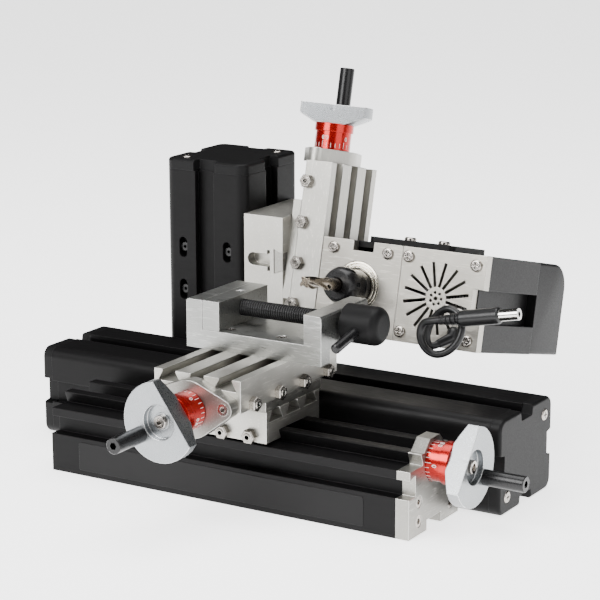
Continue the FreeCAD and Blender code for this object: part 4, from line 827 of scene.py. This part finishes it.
def makeVentMesh(settings):
    bm = bmesh.new()
    cells = int(settings["radius"] / settings["cell"])
    bmesh.ops.create_grid(bm, x_segments=cells * 2, y_segments=cells * 2, size=settings["radius"] * mm)
    outside = [face for face in bm.faces
               if face.calc_center_median().xy.length > settings["radius"] * mm]
    bmesh.ops.delete(bm, geom=outside, context="FACES")
    bmesh.ops.inset_individual(bm, faces=bm.faces[:], thickness=settings["wire"] * mm / 2)
    holeSide = settings["cell"] * settings["holeShare"] * mm
    holes = [face for face in bm.faces if face.calc_area() > holeSide ** 2]
    bmesh.ops.delete(bm, geom=holes, context="FACES")
    bmesh.ops.solidify(bm, geom=bm.faces[:], thickness=settings["thickness"] * mm)
    place = leanFrame @ axisPlace(settings["centre"], (0, -1, 0), (1, 0, 0))
    addPiece("ventMesh", bm, place, "blackKey", "head_unit")


def makeLabel(settings):
    bm = bmesh.new()
    width = (settings["right"] - settings["left"]) * mm
    height = (settings["top"] - settings["bottom"]) * mm
    # The rear half of the film is sunk in the rail
    size = Matrix.Diagonal((width, settings["thickness"] * mm * 2, height, 1))
    bmesh.ops.create_cube(bm, size=1, matrix=size)
    upright = [edge for edge in bm.edges if abs(edge.verts[0].co.y - edge.verts[1].co.y) > 1e-5]
    bmesh.ops.bevel(bm, geom=upright, offset=settings["corner"] * mm, offset_type="OFFSET",
                    segments=settings["cornerSteps"], profile=0.5, affect="EDGES", material=-1)
    middle = Vector(((settings["left"] + settings["right"]) / 2, settings["front"],
                     (settings["bottom"] + settings["top"]) / 2)) * mm
    addPiece("railLabel", bm, Matrix.Translation(middle), "labelFilm", "frame")


makeVentMesh(ventSettings)
makeLabel(labelSettings)
print("stage: vent mesh and label")


# Floor and light

studio = {
    "floorSize": 3.0,
    "floorColour": (0.90, 0.90, 0.90),
    "floorCloud": (0.90, 0.90, 0.90),
    "floorRoughness": 0.7,
    "cloudScale": 3.0,
    "floorGlow": 2.4,
    "skyTop": 0.9,
    "skySide": 0.24,
    "skyFrom": 0.05,
    "skyTo": 0.75,
    "lights": {
        "keyLight": {"place": (-0.35, -0.9, 0.75), "target": (0, 0, 0.08), "size": 0.7, "power": 20.0},
        "fillLight": {"place": (0.9, -0.3, 0.5), "target": (0, 0, 0.08), "size": 0.8, "power": 5.0},
        "topLight": {"place": (0.0, 0.15, 1.1), "target": (0, 0, 0.05), "size": 0.9, "power": 16.0},
    },
}


def addLight(name, place, target, size, power):
    data = bpy.data.lights.new(name, "AREA")
    data.size = size
    data.energy = power
    lamp = bpy.data.objects.new(name, data)
    bpy.context.scene.collection.objects.link(lamp)
    look = Vector(target) - Vector(place)
    lamp.matrix_world = Matrix.Translation(place) @ look.to_track_quat("-Z", "Y").to_matrix().to_4x4()


def makeStudio(settings):
    bm = bmesh.new()
    bmesh.ops.create_grid(bm, x_segments=8, y_segments=8, size=settings["floorSize"])
    data = bpy.data.meshes.new("floor")
    bm.to_mesh(data)
    bm.free()
    floor = bpy.data.objects.new("floor", data)
    bpy.context.scene.collection.objects.link(floor)
    paper = bpy.data.materials.new("paleFloor")
    paper.use_nodes = True
    shader = paper.node_tree.nodes["Principled BSDF"]
    noise = paper.node_tree.nodes.new("ShaderNodeTexNoise")
    noise.inputs["Scale"].default_value = settings["cloudScale"]
    tint = mixColour(paper.node_tree.nodes, paper.node_tree.links, noise.outputs["Fac"],
                     settings["floorColour"], settings["floorCloud"])
    paper.node_tree.links.new(tint, shader.inputs["Base Color"])
    shader.inputs["Roughness"].default_value = settings["floorRoughness"]
    shader.inputs["Emission Color"].default_value = (1, 1, 1, 1)
    shader.inputs["Emission Strength"].default_value = settings["floorGlow"]
    data.materials.append(paper)
    world = bpy.data.worlds.new("studio")
    world.use_nodes = True
    nodes, links = world.node_tree.nodes, world.node_tree.links
    place = nodes.new("ShaderNodeTexCoord")
    split = nodes.new("ShaderNodeSeparateXYZ")
    links.new(place.outputs["Generated"], split.inputs["Vector"])
    sky = nodes.new("ShaderNodeMapRange")  # bright overhead, dimmer towards the walls of the room
    sky.inputs["From Min"].default_value = settings["skyFrom"]
    sky.inputs["From Max"].default_value = settings["skyTo"]
    sky.inputs["To Min"].default_value = settings["skySide"]
    sky.inputs["To Max"].default_value = settings["skyTop"]
    links.new(split.outputs["Z"], sky.inputs["Value"])
    links.new(sky.outputs["Result"], nodes["Background"].inputs["Strength"])
    bpy.context.scene.world = world
    for name, light in settings["lights"].items():
        addLight(name, **light)


makeStudio(studio)
print("stage: studio")
